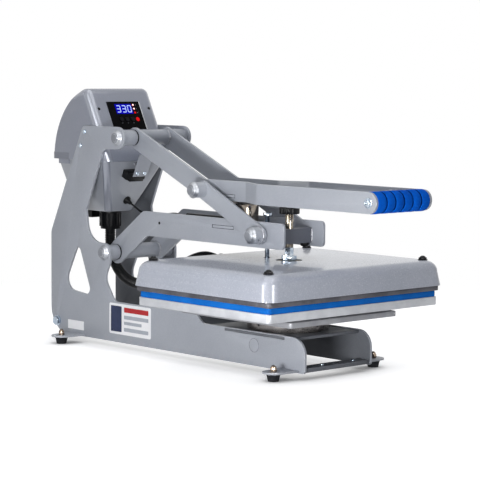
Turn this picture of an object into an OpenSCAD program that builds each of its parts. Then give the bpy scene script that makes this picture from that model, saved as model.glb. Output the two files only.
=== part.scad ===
// Clamshell heat press with a magnet-held toggle handle, millimetres, +Z up.
// The user stands at -Y. X runs across the press and Z = 0 is the bench.
// Distances called "ahead" and "behind" are measured from the pressure screw's axis.

/* [Platens] */
// Width of both platens
platen_w = 508; // [460:1:560]
// Depth of both platens
platen_d = 406; // [380:1:430]
// Corner radius of the flat platens
platen_r = 8; // [3:0.5:14]
// Height of the working surface above the bench
work_z = 168; // [160:1:176]
// Thickness of the silicone pad
pad_t = 13; // [6:0.5:18]
// Amount that the pad stands in from the lower platen's edge
pad_inset = 2; // [0.5:0.5:6]
// Thickness of the lower platen
slab_t = 18; // [12:0.5:22]
// Thickness of the heated plate
heater_t = 10; // [8:0.5:14]
// Amount that the heated plate stands out past the lower platen
heater_over = 3; // [0:0.5:6]
// Gap between the pad and the heated plate when closed
nip = 0.5; // [0.4:0.1:2]
// Height of the heated platen's cover
cover_h = 54; // [48:1:58]
// Amount that the cover stands out past the lower platen at its foot
cover_over = 12; // [8:0.5:18]
// Corner radius of the cover
cover_r = 28; // [22:1:36]
// Wall of the cover
cover_wall = 2.5; // [1.5:0.5:4]
// Dark groove between the heated plate and the cover
groove = 1.5; // [0.5:0.5:3]

/* [Frame] */
// Width over the two side plates
frame_w = 204; // [196:1:230]
// Thickness of the side plates
plate_t = 6; // [4:0.5:8]
// Underside of the side plates above the bench
sole_z = 14; // [12:0.5:18]
// Top of the rails under the platens
deck_z = 88; // [82:1:94]
// Top of the rails behind the platens
rail_z = 107; // [100:1:112]
// Front end of the rails, ahead
rail_front = 153; // [135:1:175]
// Rear end of the rails, behind
rail_rear = 706; // [690:1:730]
// Thickness of the deck between the rails
deck_t = 6; // [4:0.5:8]
// Length of the deck's tabs in the rails
deck_tab = 186; // [120:2:200]
// Length of the deck
deck_len = 270; // [240:2:280]
// Radius of the ears round the upper pivot
ear_r = 25; // [22:0.5:28]
// Depth of the bay cut into the uprights, behind the upper pivot
bay = 114; // [100:1:122]

/* [Feet] */
// Distance of each foot from the middle plane
foot_x = 151; // [135:1:170]
// Front feet, ahead
foot_front = 111; // [90:1:130]
// Rear feet, behind
foot_rear = 603; // [580:1:630]
// Diameter of a rubber foot at its top
foot_d = 30; // [24:1:34]
// Width of a foot tab
tab_w = 46; // [38:1:56]
// Width of a foot tab along the side plate
tab_root = 54; // [48:1:80]
// Thickness of a foot tab
tab_t = 4; // [3:0.5:6]

/* [Pivots] */
// Upper pivot of the handle, behind
upper_y = 460; // [450:1:470]
// Upper pivot of the handle, height
upper_z = 484; // [476:1:492]
// Lower pivot of the arm, behind
lower_y = 507; // [500:1:514]
// Lower pivot of the arm, height
lower_z = 217; // [210:1:224]
// Toggle pivot between handle and links, behind
toggle_y = 202; // [196:1:208]
// Toggle pivot between handle and links, height
toggle_z = 378; // [372:1:384]
// Pivot between links and arm, behind
link_y = 21; // [15:1:27]
// Diameter of the main pivot bolts
pivot_d = 20; // [14:1:24]
// Diameter of the pivot tubes and spacers
tube_d = 35; // [30:0.5:38]
// Diameter of the pivot bolts' caps
cap_d = 36; // [30:0.5:40]
// Running clearance round a pin, on the radius
run = 0.05; // [0.02:0.01:0.1]

/* [Arms] */
// Space between the two arms
arm_gap = 114; // [108:1:122]
// Thickness of an arm
arm_t = 6; // [5:0.5:7]
// Height of an arm's bar
arm_h = 56; // [50:1:60]
// Height of the middle of the arm's bar
arm_z = 290; // [287:1:293]
// Front end of the arms, ahead
arm_front = 47; // [42:1:54]
// Elbow of the arms, behind
elbow_y = 406; // [396:1:414]
// Width of the arms' slanted leg
leg_w = 54; // [46:1:58]
// Diameter of the holding magnet
magnet_d = 65; // [50:1:72]
// Height of the holding magnet
magnet_h = 46; // [40:0.5:50]
// Holding magnet, behind
magnet_y = 143; // [136:1:148]

/* [Handle] */
// Space between the handle's plates at the pivots
lever_gap = 90; // [84:1:94]
// Thickness of the handle's plates
lever_t = 6; // [5:0.5:7]
// Height of the handle's plates along the grip's run
lever_h = 44; // [38:1:48]
// Width of the handle's plates along the slanted run
lever_band = 46; // [40:1:48]
// Bend between the slanted run and the level run, behind
knee_y = 222; // [216:1:230]
// Width over the handle at the grip
handle_w = 168; // [150:1:190]
// Grip's axis, ahead
grip_y = 310; // [280:1:340]
// Diameter of the foam grip
grip_d = 46; // [36:1:48]
// Grooves round the foam grip
grip_grooves = 5; // [2:1:8]

/* [Links] */
// Thickness of a link
link_t = 6; // [5:0.5:7]
// Width of a link
link_w = 40; // [38:0.5:44]
// Space between a link and the arm beside it
link_gap = 2.5; // [1:0.5:4]
// Length of the bosses welded to the links
boss_l = 26; // [18:1:30]

/* [Pressure screw] */
// Diameter of the pressure screw
screw_d = 18; // [14:0.5:20]
// Diameter of the pressure knob
knob_d = 44; // [36:1:52]
// Height of the pressure knob
knob_h = 15; // [12:0.5:18]
// Underside of the knob above the bench
knob_z = 334; // [330:1:340]
// Upward travel of the heated platen on its screw
travel = 8; // [4:0.5:9]
// Diameter of the guide bolt
guide_d = 10; // [8:0.5:12]
// Guide bolt, behind
guide_y = 68; // [62:1:76]

/* [Control box] */
// Width of the control box's cover
box_w = 191.6; // [170:0.2:191.6]
// Wall of the control box
box_wall = 2; // [1.5:0.5:3]
// Underside of the cover's lip above the bench
lip_z = 428; // [422:1:434]
// Height of the lip that overlaps the lower box
lip_h = 16; // [10:1:20]
// Radius of the cover's round back
back_r = 180; // [172:1:186]
// Lean of the panel face from upright, in degrees
face_lean = 27; // [24:0.5:30]
// Width of the display panel
panel_w = 98; // [88:1:110]
// Height of the display panel along its face
panel_h = 72; // [64:1:76]
// Thickness of the display panel
panel_t = 3; // [2:0.5:4]
// Diameter of a panel button
button_d = 11; // [8:0.5:13]
// Travel of a panel button
button_travel = 0.6; // [0.3:0.1:1]
// Underside of the lower box above the bench
box_floor_z = 305; // [298:1:312]
// Width of the lower box at its underside
box_floor_w = 78; // [66:1:96]

/* [Heater hose] */
// Outer diameter of the ribbed hose
hose_d = 25; // [20:0.5:27]
// Bore of the ribbed hose
hose_bore = 17; // [12:0.5:18]
// Number of ribs along the hose
hose_ribs = 120; // [60:1:150]
// Diameter of the magnet's cable
cable_d = 5; // [3:0.5:7]

/* [Hidden] */
$fn = 48;

// Clearance between two pieces that are fixed to each other
fit = 0.1;
// Clearance between flat faces that pass each other
side_run = 0.4;
// Overshoot of a cut past the face that it opens
cut = 1;

// Levels of the platens, from the bench up
pad_z = work_z - pad_t;
slab_z = pad_z - slab_t;
heater_z = work_z + nip;
heater_top = heater_z + heater_t;
cover_z = heater_top + groove;
cover_top = cover_z + cover_h;

// Faces across the press, as distances from the middle plane
frame_out = frame_w / 2;
frame_in = frame_out - plate_t;
arm_in = arm_gap / 2;
arm_out = arm_in + arm_t;
lever_in = lever_gap / 2;
lever_out = lever_in + lever_t;
link_in = arm_out + link_gap;
link_out = link_in + link_t;
handle_out = handle_w / 2;
handle_in = handle_out - lever_t;

// The whole press is centred front to back on the bench
front_end = -grip_y - lever_h / 2;
mid_y = (front_end + rail_rear) / 2;

// Deck, pedestal and bracket
deck_top = deck_z - 2;
pedestal_d = 178;
pedestal_h = 30;
pedestal_top = deck_top + pedestal_h;
bracket_h = slab_z - pedestal_top;
set_screw_d = 6;

// Uprights
step_y = 186;
step_run = 22;
upright_y = lower_y - 2;
low_ear_r = 22;
bay_y = upper_y + bay;
tear_y = lower_y + 95;
tie_y = rail_rear - 25;
tie_z = sole_z + 28;
tie_d = 12;
rivet_d = 5;
rivet_back = [119, 134];
rivet_rise = [11, -22];
rivet_spots = [for (i = [0, 1]) [upper_y + rivet_back[i], upper_z + rivet_rise[i]]];

// Arm and handle cross pieces
magnet_plate_t = 6;
magnet_plate_top = arm_z + 12;
magnet_plate_front = 48;
magnet_plate_rear = 330;
magnet_tab = 68;
block_d = 26;
block_drop = 20;
block_z = arm_z - block_drop;
block_h = 32;
magnet_top = magnet_plate_top + magnet_h;
armature_gap = 0.4;
armature_d = 60;
armature_plate_t = 6;
armature_drop = 14;
armature_plate_z = toggle_z - armature_drop;
armature_tab = 49;
armature_len = 62;
sleeve_d = 14;

// Handle flare between the pivots' spacing and the grip's spacing
flare_rear = 82;
flare_front = 17;
flare_r = 30;
grip_core_d = 25;
grip_screw_d = 10;

// Toggle, link and screw hardware
screw_grip = 5;
toggle_d = 16;
cap_h = 7;
pin_inner = 4;

// Pressure coupling
coupling_nut_h = 10;
coupling_nut_w = 30;
coupling_gap = 1;
coupling_w = 17.5;
coupling_z = cover_top;
coupling_top = block_z - travel - coupling_gap;
coupling_h = coupling_top - coupling_z - coupling_nut_h;
spigot_d = 12;
spigot_l = 16;
centre_hole_d = 58;
nut_x = platen_w / 2 - 22;
nut_y = platen_d / 2 - 25;
stud_d = 8;
guide_top = 324;

// Control box: centre of the round back, and the panel face through a point
face_y = 550;
face_z = 532;
back_y = face_y - 26;
back_rise = 3;
back_z = lip_z + back_rise;
box_half = box_w / 2;
lip_out = 2;
crown_r = 14;
face_at_lip = face_y - (face_z - lip_z) * tan(face_lean);
box_front = face_at_lip + box_wall + 13;
box_rear = back_y + back_r - box_wall - 12;
rim_half = box_half - box_wall - 0.3;
floor_front = box_front + 58;
front_lean = atan2(floor_front - box_front, lip_z - box_floor_z);
gland_y = box_rear - 81;
gland_d = 52;
gland_h = 43;
gland_z = box_floor_z - gland_h;
inlet_y = box_rear - 28;
grommet_d = 14;
grommet_x = 8;
grommet_z = box_floor_z + 27;
grommet_y = floor_front - (grommet_z - box_floor_z) * tan(front_lean);
grommet_up = (grommet_z - box_floor_z) / cos(front_lean);
grommet_cap_h = 4;
grommet_tail = 12;
window_w = 50;
window_h = 25;
window_spot = [-1.5, 17];
button_pitch = 17;
button_row = -10;
button_spots = [for (i = [-1:1]) [-1.5 + i * button_pitch, button_row]];
led_spots = [[29, 27], [29, 17], [29, 7]];
lamp_spot = [31, button_row];
panel_screw_x = 76;
panel_screw_up = 18;
switch_x = 7;
switch_up = 111.5;
switch_screw_x = [switch_x - 11, switch_x + 11];

// Hose route from the gland's underside to the boss on the cover's rear wall, chosen by hand
hose_boss_h = 12;
hose_boss_d = 38;
hose_boss_root = 10;
hose_end_gap = 0.4;
hose_end_y = platen_d / 2 + cover_over + 9;
hose_end_z = cover_z + 34;
hose_dip = 5;
hose_lead = 24;
hose_end_lean = atan2(hose_dip, hose_lead);
hose_route = [
    [0, gland_y, gland_z],
    [0, gland_y, gland_z - 13],
    [0, gland_y, gland_z - 26],
    [0, gland_y - 3, gland_z - 48],
    [0, gland_y - 13, gland_z - 72],
    [0, gland_y - 29, gland_z - 94],
    [0, gland_y - 50, gland_z - 110],
    [0, gland_y - 75, gland_z - 120],
    [0, 506, 139], [0, 470, 143], [0, 434, 153], [0, 398, 168], [0, 362, 186], [0, 330, 202],
    [0, hose_end_y + 76, hose_end_z],
    [0, hose_end_y + 48, hose_end_z + 6],
    [0, hose_end_y + hose_lead, hose_end_z + hose_dip],
    [0, hose_end_y, hose_end_z]
];

// Cable route from the grommet's tip to the sleeve on the magnet plate, chosen by hand
cable_way = [0, -cos(front_lean), -sin(front_lean)];
cable_start = [grommet_x, grommet_y, grommet_z] + (grommet_cap_h + grommet_tail) * cable_way;
cable_end_gap = 0.2;
cable_end = [0, magnet_plate_rear + cable_end_gap, magnet_plate_top + sleeve_d / 2];
cable_route = [
    cable_start,
    cable_start + 18 * cable_way,
    cable_start + 36 * cable_way,
    [11, 488, 301], [14, 464, 299], [15, 440, 302], [15, 415, 307], [11, 390, 310], [5, 366, 310],
    cable_end + [0, 18, 0],
    cable_end
];

// Geometry helpers

function unit(v) = v / norm(v);

function corner_arc(a, b, c, r, n) =
    let(u = unit(a - b), v = unit(c - b), half = acos(u * v) / 2)
    let(centre = b + unit(u + v) * r / sin(half), reach = r / tan(half))
    let(s = b + u * reach - centre, e = b + v * reach - centre)
    let(from = atan2(s[1], s[0]), turn = (atan2(e[1], e[0]) - from + 540) % 360 - 180)
    [for (i = [0:n]) centre + r * [cos(from + turn * i / n), sin(from + turn * i / n)]];

function flat(p) = [p[0], p[1]];

// Closed outline from points [along, up, corner radius]
function rounded(path, n = 6) =
    let(count = len(path))
    [for (i = [0:count - 1])
        let(a = path[(i + count - 1) % count], b = path[i], c = path[(i + 1) % count])
        each b[2] > 0 ? corner_arc(flat(a), flat(b), flat(c), b[2], n) : [flat(b)]];

module placed() {
    translate([0, -mid_y, 0]) children();
}

// Upright sheet: its outline is drawn front to back and up, its thickness runs along X
module sheet(x, t) {
    translate([x, 0, 0]) rotate([90, 0, 90]) linear_extrude(t) children();
}

module rod_x(x0, x1, y, z, d) {
    translate([x0, y, z]) rotate([0, 90, 0]) cylinder(d = d, h = x1 - x0);
}

module ring_x(x0, x1, y, z, d, bore) {
    difference() {
        rod_x(x0, x1, y, z, d);
        rod_x(x0 - cut, x1 + cut, y, z, bore);
    }
}

module both_sides() {
    children();
    mirror([1, 0, 0]) children();
}

module four_corners(x, y) {
    for (sx = [-1, 1], sy = [-1, 1]) translate([sx * x, sy * y, 0]) children();
}

module box(x0, x1, y0, y1, z0, z1) {
    translate([x0, y0, z0]) cube([x1 - x0, y1 - y0, z1 - z0]);
}

module round_slab(w, d, r, h) {
    outline = rounded([[-w / 2, -d / 2, r], [w / 2, -d / 2, r], [w / 2, d / 2, r], [-w / 2, d / 2, r]]);
    linear_extrude(h) polygon(outline);
}

module hex(width, h) {
    cylinder(d = width / cos(30), h = h, $fn = 6);
}

// Round cap with a chamfered rim, standing on z = 0
module chamfered_cap(d, h, chamfer) {
    cylinder(d = d, h = h - chamfer);
    translate([0, 0, h - chamfer]) cylinder(d1 = d, d2 = d - 2 * chamfer, h = chamfer);
}

// Pan-head screw with its shank down and its seat at z = 0
module panhead(d, length) {
    translate([0, 0, -length]) cylinder(d = d, h = length);
    chamfered_cap(2 * d, 0.6 * d, 0.3 * d);
}

module on_panel_face() {
    translate([0, face_y, face_z]) rotate([90 - face_lean, 0, 0]) children();
}

// Face of the lower box, measured up along it from its foot
module on_box_front() {
    translate([0, floor_front, box_floor_z]) rotate([90 + front_lean, 0, 0]) children();
}

// Frame

function side_outline() = rounded([
    [-rail_front, sole_z, 6],
    [-rail_front, deck_z, 36],
    [step_y - step_run, deck_z, 14],
    [step_y, rail_z, 14],
    [upright_y - 36, rail_z, 24],
    [upright_y, lower_z - 59, 30],
    [lower_y - low_ear_r, lower_z - 20, 16],
    [lower_y - low_ear_r, lower_z + low_ear_r, low_ear_r - 1],
    [bay_y - 12, lower_z + low_ear_r + 1, 48],
    [bay_y, upper_z - 170, 14],
    [upper_y + 52, upper_z - ear_r - 2, 14],
    [upper_y - ear_r, upper_z - ear_r, ear_r - 0.01],
    [upper_y - ear_r, upper_z + ear_r, ear_r - 0.01],
    [upper_y + 126, upper_z + ear_r, 14],
    [rail_rear, lower_z + 38, 30],
    [rail_rear, sole_z, 62]
]);

function tear_outline() = rounded([
    [tear_y, lower_z + 20, 10],
    [tear_y + 58, lower_z - 93, 28],
    [tear_y - 51, lower_z - 104, 14]
], 8);

module side_sheet_outline() {
    difference() {
        polygon(side_outline());
        polygon(tear_outline());
        translate([upper_y, upper_z]) circle(d = pivot_d + 2 * fit);
        translate([lower_y, lower_z]) circle(d = pivot_d + 2 * fit);
        translate([tie_y, tie_z]) circle(d = tie_d + 2 * fit);
        translate([-deck_tab / 2 - fit, deck_top - deck_t - fit]) {
            square([deck_tab + 2 * fit, deck_t + 2 * fit]);
        }
        for (p = rivet_spots) translate(p) circle(d = rivet_d + 2 * fit);
    }
}

module side_plate() {
    knockout_d = 30;
    knockout_line = 0.8;
    difference() {
        sheet(-frame_out, plate_t) side_sheet_outline();
        translate([-frame_out - cut, 0, deck_z - knockout_d]) {
            ring_x(0, knockout_line + cut, 0, 0, knockout_d, knockout_d - 2 * knockout_line);
        }
    }
}

module left_side_plate() {
    color("#9da1a8") placed() side_plate();
}

module right_side_plate() {
    color("#9da1a8") placed() mirror([1, 0, 0]) side_plate();
}

module base_top_plate() {
    color("#9da1a8") placed() {
        z0 = deck_top - deck_t;
        front = -deck_len / 2 + 15;
        box(-frame_in, frame_in, front, front + deck_len, z0, deck_top);
        both_sides() box(frame_in - cut, frame_out, -deck_tab / 2, deck_tab / 2, z0, deck_top);
    }
}

module front_strip() {
    color("#7d8087") placed() {
        strip_d = 32;
        strip_t = 5;
        strip_lip = 4;
        y0 = -rail_front + 3;
        difference() {
            union() {
                box(-frame_in, frame_in, y0, y0 + strip_d, sole_z + 6, sole_z + 6 + strip_t);
                box(-frame_in, frame_in, y0, y0 + 3, sole_z + 6 - strip_lip, sole_z + 6 + strip_t);
            }
            for (x = strip_screw_x) {
                translate([x, strip_screw_y, sole_z]) cylinder(d = rivet_d + 2 * fit, h = 20);
            }
        }
    }
}
strip_screw_x = [-32, 62];
strip_screw_inset = 19;
strip_screw_y = -rail_front + strip_screw_inset;
strip_top = sole_z + 11;

module rear_tie() {
    color("#9da1a8") placed() ring_x(-frame_in, frame_in, tie_y, tie_z, 2 * tie_d, tie_d - 2);
}

module tie_bolts() {
    color("#c9ccd0") placed() both_sides() {
        depth = 24;
        rod_x(-frame_out, -frame_in, tie_y, tie_z, tie_d);
        rod_x(-frame_in, -frame_in + depth, tie_y, tie_z, tie_d - 2 - 2 * fit);
        translate([-frame_out, tie_y, tie_z]) rotate([0, -90, 0]) {
            cylinder(d = 2 * tie_d, h = 2);
            translate([0, 0, 2]) hex(1.5 * tie_d, 6);
        }
    }
}

// Feet

foot_spots = [for (sx = [-1, 1], y = [-foot_front, foot_rear]) [sx, y]];
foot_stud_d = 8;
tab_z = sole_z + 2;

module foot_tabs() {
    color("#9da1a8") placed() for (p = foot_spots) scale([p[0], 1, 1]) translate([0, p[1], tab_z]) {
        difference() {
            linear_extrude(tab_t) polygon(rounded([
                [frame_out, -tab_root / 2, 0],
                [foot_x + tab_w / 2, -tab_w / 2, tab_w / 2 - 0.01],
                [foot_x + tab_w / 2, tab_w / 2, tab_w / 2 - 0.01],
                [frame_out, tab_root / 2, 0]
            ], 10));
            translate([foot_x, 0, -cut]) cylinder(d = foot_stud_d + 2 * fit, h = tab_t + 2 * cut);
        }
    }
}

module rubber_feet() {
    color("#1c1d20") placed() for (p = foot_spots) translate([p[0] * foot_x, p[1], 0]) {
        rim = 3;
        cylinder(d1 = foot_d - 7, d2 = foot_d - 1, h = tab_z - rim);
        translate([0, 0, tab_z - rim]) cylinder(d = foot_d, h = rim);
    }
}

module foot_nuts() {
    color("#b08a4a") placed() for (p = foot_spots) translate([p[0] * foot_x, p[1], tab_z]) {
        nut_h = 8;
        cylinder(d = foot_stud_d, h = tab_t);
        translate([0, 0, tab_t]) hex(1.6 * foot_stud_d, nut_h);
        translate([0, 0, tab_t + nut_h]) intersection() {
            sphere(d = 1.5 * foot_stud_d);
            cylinder(d = 2 * foot_stud_d, h = foot_stud_d);
        }
    }
}

// Pivots of the handle and the arm

module pivot_bolt(y, z) {
    rod_x(-frame_out, frame_out, y, z, pivot_d);
    both_sides() translate([-frame_out, y, z]) rotate([0, -90, 0]) {
        chamfered_cap(cap_d, cap_h, 3);
        cylinder(d = cap_d - 14, h = cap_h + 1.5);
    }
}

module upper_pivot_bolt() {
    color("#c8c6c0") placed() pivot_bolt(upper_y, upper_z);
}

module lower_pivot_bolt() {
    color("#c8c6c0") placed() pivot_bolt(lower_y, lower_z);
}

module pivot_spacers() {
    color("#9da1a8") placed() both_sides() {
        bore = pivot_d + 2 * fit;
        ring_x(-frame_in, -lever_out - side_run, upper_y, upper_z, tube_d, bore);
        ring_x(-frame_in, -arm_out - side_run, lower_y, lower_z, tube_d, bore);
    }
}

// Pedestal and lower platen

module pedestal_disc() {
    color("#5b5a58") placed() translate([0, 0, deck_top]) {
        foot_h = 3;
        difference() {
            union() {
                cylinder(d = pedestal_d - 10, h = foot_h);
                translate([0, 0, foot_h]) cylinder(d = pedestal_d, h = pedestal_h - foot_h);
            }
            for (a = [0:90:270]) rotate([0, 0, a]) set_screw_hole(set_screw_d + 2 * fit);
        }
    }
}

module set_screw_hole(d) {
    depth = 14;
    translate([pedestal_d / 2 - depth, 0, pedestal_h / 2]) {
        rotate([0, 90, 0]) cylinder(d = d, h = depth + cut);
    }
}

module socket_screws() {
    color("#202124") placed() {
        seat = 12;
        for (a = [0:90:270]) rotate([0, 0, a]) {
            translate([pedestal_d / 2 - 14, 0, deck_top + pedestal_h / 2]) {
                rotate([0, 90, 0]) cylinder(d = set_screw_d, h = seat);
            }
        }
        for (sx = [-1, 1]) on_panel_face() translate([sx * panel_screw_x, panel_screw_up, -box_wall]) {
            cylinder(d = 7, h = box_wall + 0.6);
        }
    }
}

module platen_bracket() {
    color("#8f9298") placed() {
        step = bracket_h * 0.55;
        difference() {
            union() {
                translate([0, 0, pedestal_top]) round_slab(platen_w - 188, platen_d - 66, 6, step);
                translate([0, 0, pedestal_top + step]) {
                    round_slab(platen_w - 120, platen_d - 100, 6, bracket_h - step);
                }
            }
            translate([0, 0, pedestal_top - cut]) cylinder(d = 60, h = bracket_h + 2 * cut);
        }
    }
}

module lower_platen() {
    color("#c3c4c4") placed() translate([0, 0, slab_z]) round_slab(platen_w, platen_d, platen_r, slab_t);
}

module silicone_pad() {
    color("#0d5cc0") placed() translate([0, 0, pad_z]) {
        round_slab(platen_w - 2 * pad_inset, platen_d - 2 * pad_inset, platen_r, pad_t);
    }
}

// Control box

function face_point(inset) = [face_at_lip + inset / cos(face_lean), lip_z];

// Angle on the round back where the panel face meets it
function crown_angle(inset) =
    let(p = face_point(inset))
    let(along = [sin(face_lean), cos(face_lean)], across = [cos(face_lean), -sin(face_lean)])
    let(to = [back_y, back_z] - p, off = across * to, half = sqrt(pow(back_r - inset, 2) - off * off))
    let(top = p + along * (along * to + half) - [back_y, back_z])
    atan2(top[1], top[0]);

function cover_outline(inset, foot) =
    let(r = back_r - inset, crown = crown_angle(inset), low = asin((lip_z - back_z) / r), n = 16)
    let(face = face_point(inset), drop = (lip_z - foot) * tan(face_lean))
    rounded(concat(
        [[face[0] - drop, foot, 0]],
        [for (i = [0:n]) let(a = crown + (low - crown) * i / n)
            [back_y + r * cos(a), back_z + r * sin(a), i == 0 ? crown_r - inset : 0]],
        [[back_y + r * cos(low), foot, 0]]
    ));

module control_cover() {
    color("#8d929c") placed() difference() {
        union() {
            sheet(-box_half, box_w) polygon(cover_outline(0, lip_z));
            translate([0, back_y, lip_z]) box(-box_half, box_half, back_r - 40, back_r + lip_out, 0, lip_h);
        }
        sheet(-box_half + box_wall, box_w - 2 * box_wall) polygon(cover_outline(box_wall, lip_z - cut));
        on_panel_face() {
            translate([-panel_w / 2 - fit, -panel_h / 2 - fit, -2 * box_wall]) {
                cube([panel_w + 2 * fit, panel_h + 2 * fit, 4 * box_wall]);
            }
            for (sx = [-1, 1]) translate([sx * panel_screw_x, panel_screw_up, -2 * box_wall]) {
                cylinder(d = 7 + 2 * fit, h = 4 * box_wall);
            }
        }
        for (p = rivet_spots) rod_x(-box_half - cut, box_half + cut, p[0], p[1], rivet_d + 2 * fit);
    }
}

// Hopper with a level rim: a rectangle at the lip that narrows to the floor
module hopper(inset, top, floor_z) {
    rim = rim_half - inset;
    base = box_floor_w / 2 - inset;
    y0 = box_front + inset;
    y1 = box_rear - inset;
    f0 = floor_front + inset;
    polyhedron(
        points = [
            [-base, f0, floor_z], [base, f0, floor_z], [base, y1, floor_z], [-base, y1, floor_z],
            [-rim, y0, lip_z], [rim, y0, lip_z], [rim, y1, lip_z], [-rim, y1, lip_z],
            [-rim, y0, top], [rim, y0, top], [rim, y1, top], [-rim, y1, top]
        ],
        faces = [
            [0, 1, 2, 3], [11, 10, 9, 8],
            for (k = [0, 4], i = [0:3]) [k + i, k + 4 + i, k + 4 + (i + 1) % 4, k + (i + 1) % 4]
        ]
    );
}

module control_box() {
    color("#878b93") placed() difference() {
        hopper(0, lip_z + lip_h - 2, box_floor_z);
        hopper(box_wall, lip_z + lip_h, box_floor_z + box_wall);
        translate([0, gland_y, box_floor_z - cut]) cylinder(d = gland_d - 16, h = 2 * box_wall + cut);
        box(-14, 14, inlet_y - 9, inlet_y + 9, box_floor_z - cut, box_floor_z + 2 * box_wall);
        on_box_front() {
            translate([grommet_x, grommet_up, -2 * box_wall]) {
                cylinder(d = grommet_d + 2 * fit, h = 4 * box_wall);
            }
            for (x = switch_screw_x) translate([x, switch_up, -2 * box_wall]) {
                cylinder(d = rivet_d + 2 * fit, h = 4 * box_wall);
            }
        }
    }
}

module display_panel() {
    color("#121316") placed() on_panel_face() difference() {
        translate([-panel_w / 2, -panel_h / 2, -panel_t + 0.5]) cube([panel_w, panel_h, panel_t]);
        translate([window_spot[0] - window_w / 2, window_spot[1] - window_h / 2, -0.5]) {
            cube([window_w, window_h, 2]);
        }
        for (p = button_spots) translate([p[0], p[1], -panel_t]) {
            cylinder(d = button_d + 0.8, h = 2 * panel_t);
        }
        for (p = led_spots) translate([p[0], p[1], -panel_t]) cylinder(d = led_d + 2 * fit, h = 2 * panel_t);
        translate([lamp_spot[0], lamp_spot[1], -panel_t]) cylinder(d = lamp_d + 2 * fit, h = 2 * panel_t);
    }
}
led_d = 5;
lamp_d = 10;

module display_window() {
    color("#1638d8") placed() on_panel_face() {
        translate([window_spot[0] - window_w / 2 + fit, window_spot[1] - window_h / 2 + fit, -0.5]) {
            cube([window_w - 2 * fit, window_h - 2 * fit, 1.2]);
        }
    }
}

module indicator_leds() {
    color("#e0292c") placed() on_panel_face() {
        for (p = led_spots) translate([p[0], p[1], -panel_t]) cylinder(d = led_d, h = panel_t + 1.2);
        translate([lamp_spot[0], lamp_spot[1], -panel_t]) cylinder(d = lamp_d, h = panel_t + 0.9);
    }
}

module panel_button(i) {
    cap_top = 1.6;
    spot = button_spots[i];
    placed() on_panel_face() translate([spot[0], spot[1], -panel_t + 0.5 + button_travel]) {
        cylinder(d = button_d, h = panel_t + cap_top - button_travel);
        translate([0, 0, -board_gap]) cylinder(d = button_d / 2, h = board_gap);
    }
}
board_gap = 6;

module down_button() {
    color("#2a2c31") panel_button(0);
}

module set_button() {
    color("#2a2c31") panel_button(1);
}

module up_button() {
    color("#2a2c31") panel_button(2);
}

// Circuit board behind the panel on four posts, with its transformer and its relay
module control_board() {
    board_t = 2;
    board_w = panel_w + 22;
    board_h = panel_h + 16;
    post_d = 6;
    back = -panel_t + 0.5 - board_gap - side_run;
    color("#1f6b3a") placed() on_panel_face() {
        translate([-board_w / 2, -board_h / 2, back - board_t]) cube([board_w, board_h, board_t]);
        for (sx = [-1, 1], sy = [-1, 1]) {
            translate([sx * (panel_w / 2 + 7), sy * (panel_h / 2 + 4), back]) {
                cylinder(d = post_d, h = -box_wall - back);
            }
        }
        translate([-0.4 * board_w, -0.4 * board_h, back - board_t]) {
            mirror([0, 0, 1]) cube([0.35 * board_w, 0.4 * board_h, 0.25 * board_w]);
        }
        translate([0.12 * board_w, -0.43 * board_h, back - board_t]) {
            mirror([0, 0, 1]) cube([0.3 * board_w, 0.6 * board_h, 0.18 * board_w]);
        }
    }
}

module cable_gland() {
    color("#18191b") placed() translate([0, gland_y, gland_z]) {
        rib_count = 12;
        flange_h = 6;
        difference() {
            union() {
                cylinder(d = gland_d - 6, h = gland_h - flange_h);
                for (a = [0:360 / rib_count:359]) rotate([0, 0, a]) {
                    translate([gland_d / 2 - 5, -2.5, 6]) cube([5, 5, gland_h - flange_h - 6]);
                }
                translate([0, 0, gland_h - flange_h]) cylinder(d = gland_d, h = flange_h);
                translate([0, 0, gland_h]) cylinder(d = gland_d - 16 - 2 * fit, h = 2 * box_wall);
            }
            translate([0, 0, -cut]) cylinder(d = hose_bore, h = gland_h + 4 * box_wall);
        }
    }
}

module cord_grommet() {
    color("#18191b") placed() on_box_front() translate([grommet_x, grommet_up, 0]) difference() {
        union() {
            translate([0, 0, -2 * box_wall]) cylinder(d = grommet_d, h = 2 * box_wall);
            chamfered_cap(grommet_d + 6, grommet_cap_h, grommet_cap_h / 2);
            translate([0, 0, grommet_cap_h]) cylinder(d1 = grommet_d, d2 = cable_d + 3, h = grommet_tail);
        }
        translate([0, 0, -2 * box_wall - cut]) {
            cylinder(d = cable_d - 1, h = 2 * box_wall + grommet_cap_h + grommet_tail + 2 * cut);
        }
    }
}

bracket_half = 21;
bracket_foot = 8;
bracket_top = 50;
bracket_t = 2;
bracket_stand = 18;
bracket_tie = 16;
bracket_tie_half = 15;

// Plate that stands off the box in front of the cover's edge, with a tie back to the box behind it
module switch_bracket() {
    color("#8f9298") placed() on_box_front() difference() {
        translate([switch_x, switch_up, 0]) {
            translate([-bracket_half, -bracket_foot, bracket_stand]) {
                cube([2 * bracket_half, bracket_foot + bracket_top, bracket_t]);
            }
            translate([-bracket_tie_half, bracket_tie, fit]) {
                cube([2 * bracket_tie_half, bracket_t, bracket_stand]);
            }
        }
        for (x = switch_screw_x) translate([x, switch_up, bracket_stand - cut]) {
            cylinder(d = rivet_d + 2 * fit, h = bracket_t + 2 * cut);
        }
    }
}

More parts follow.
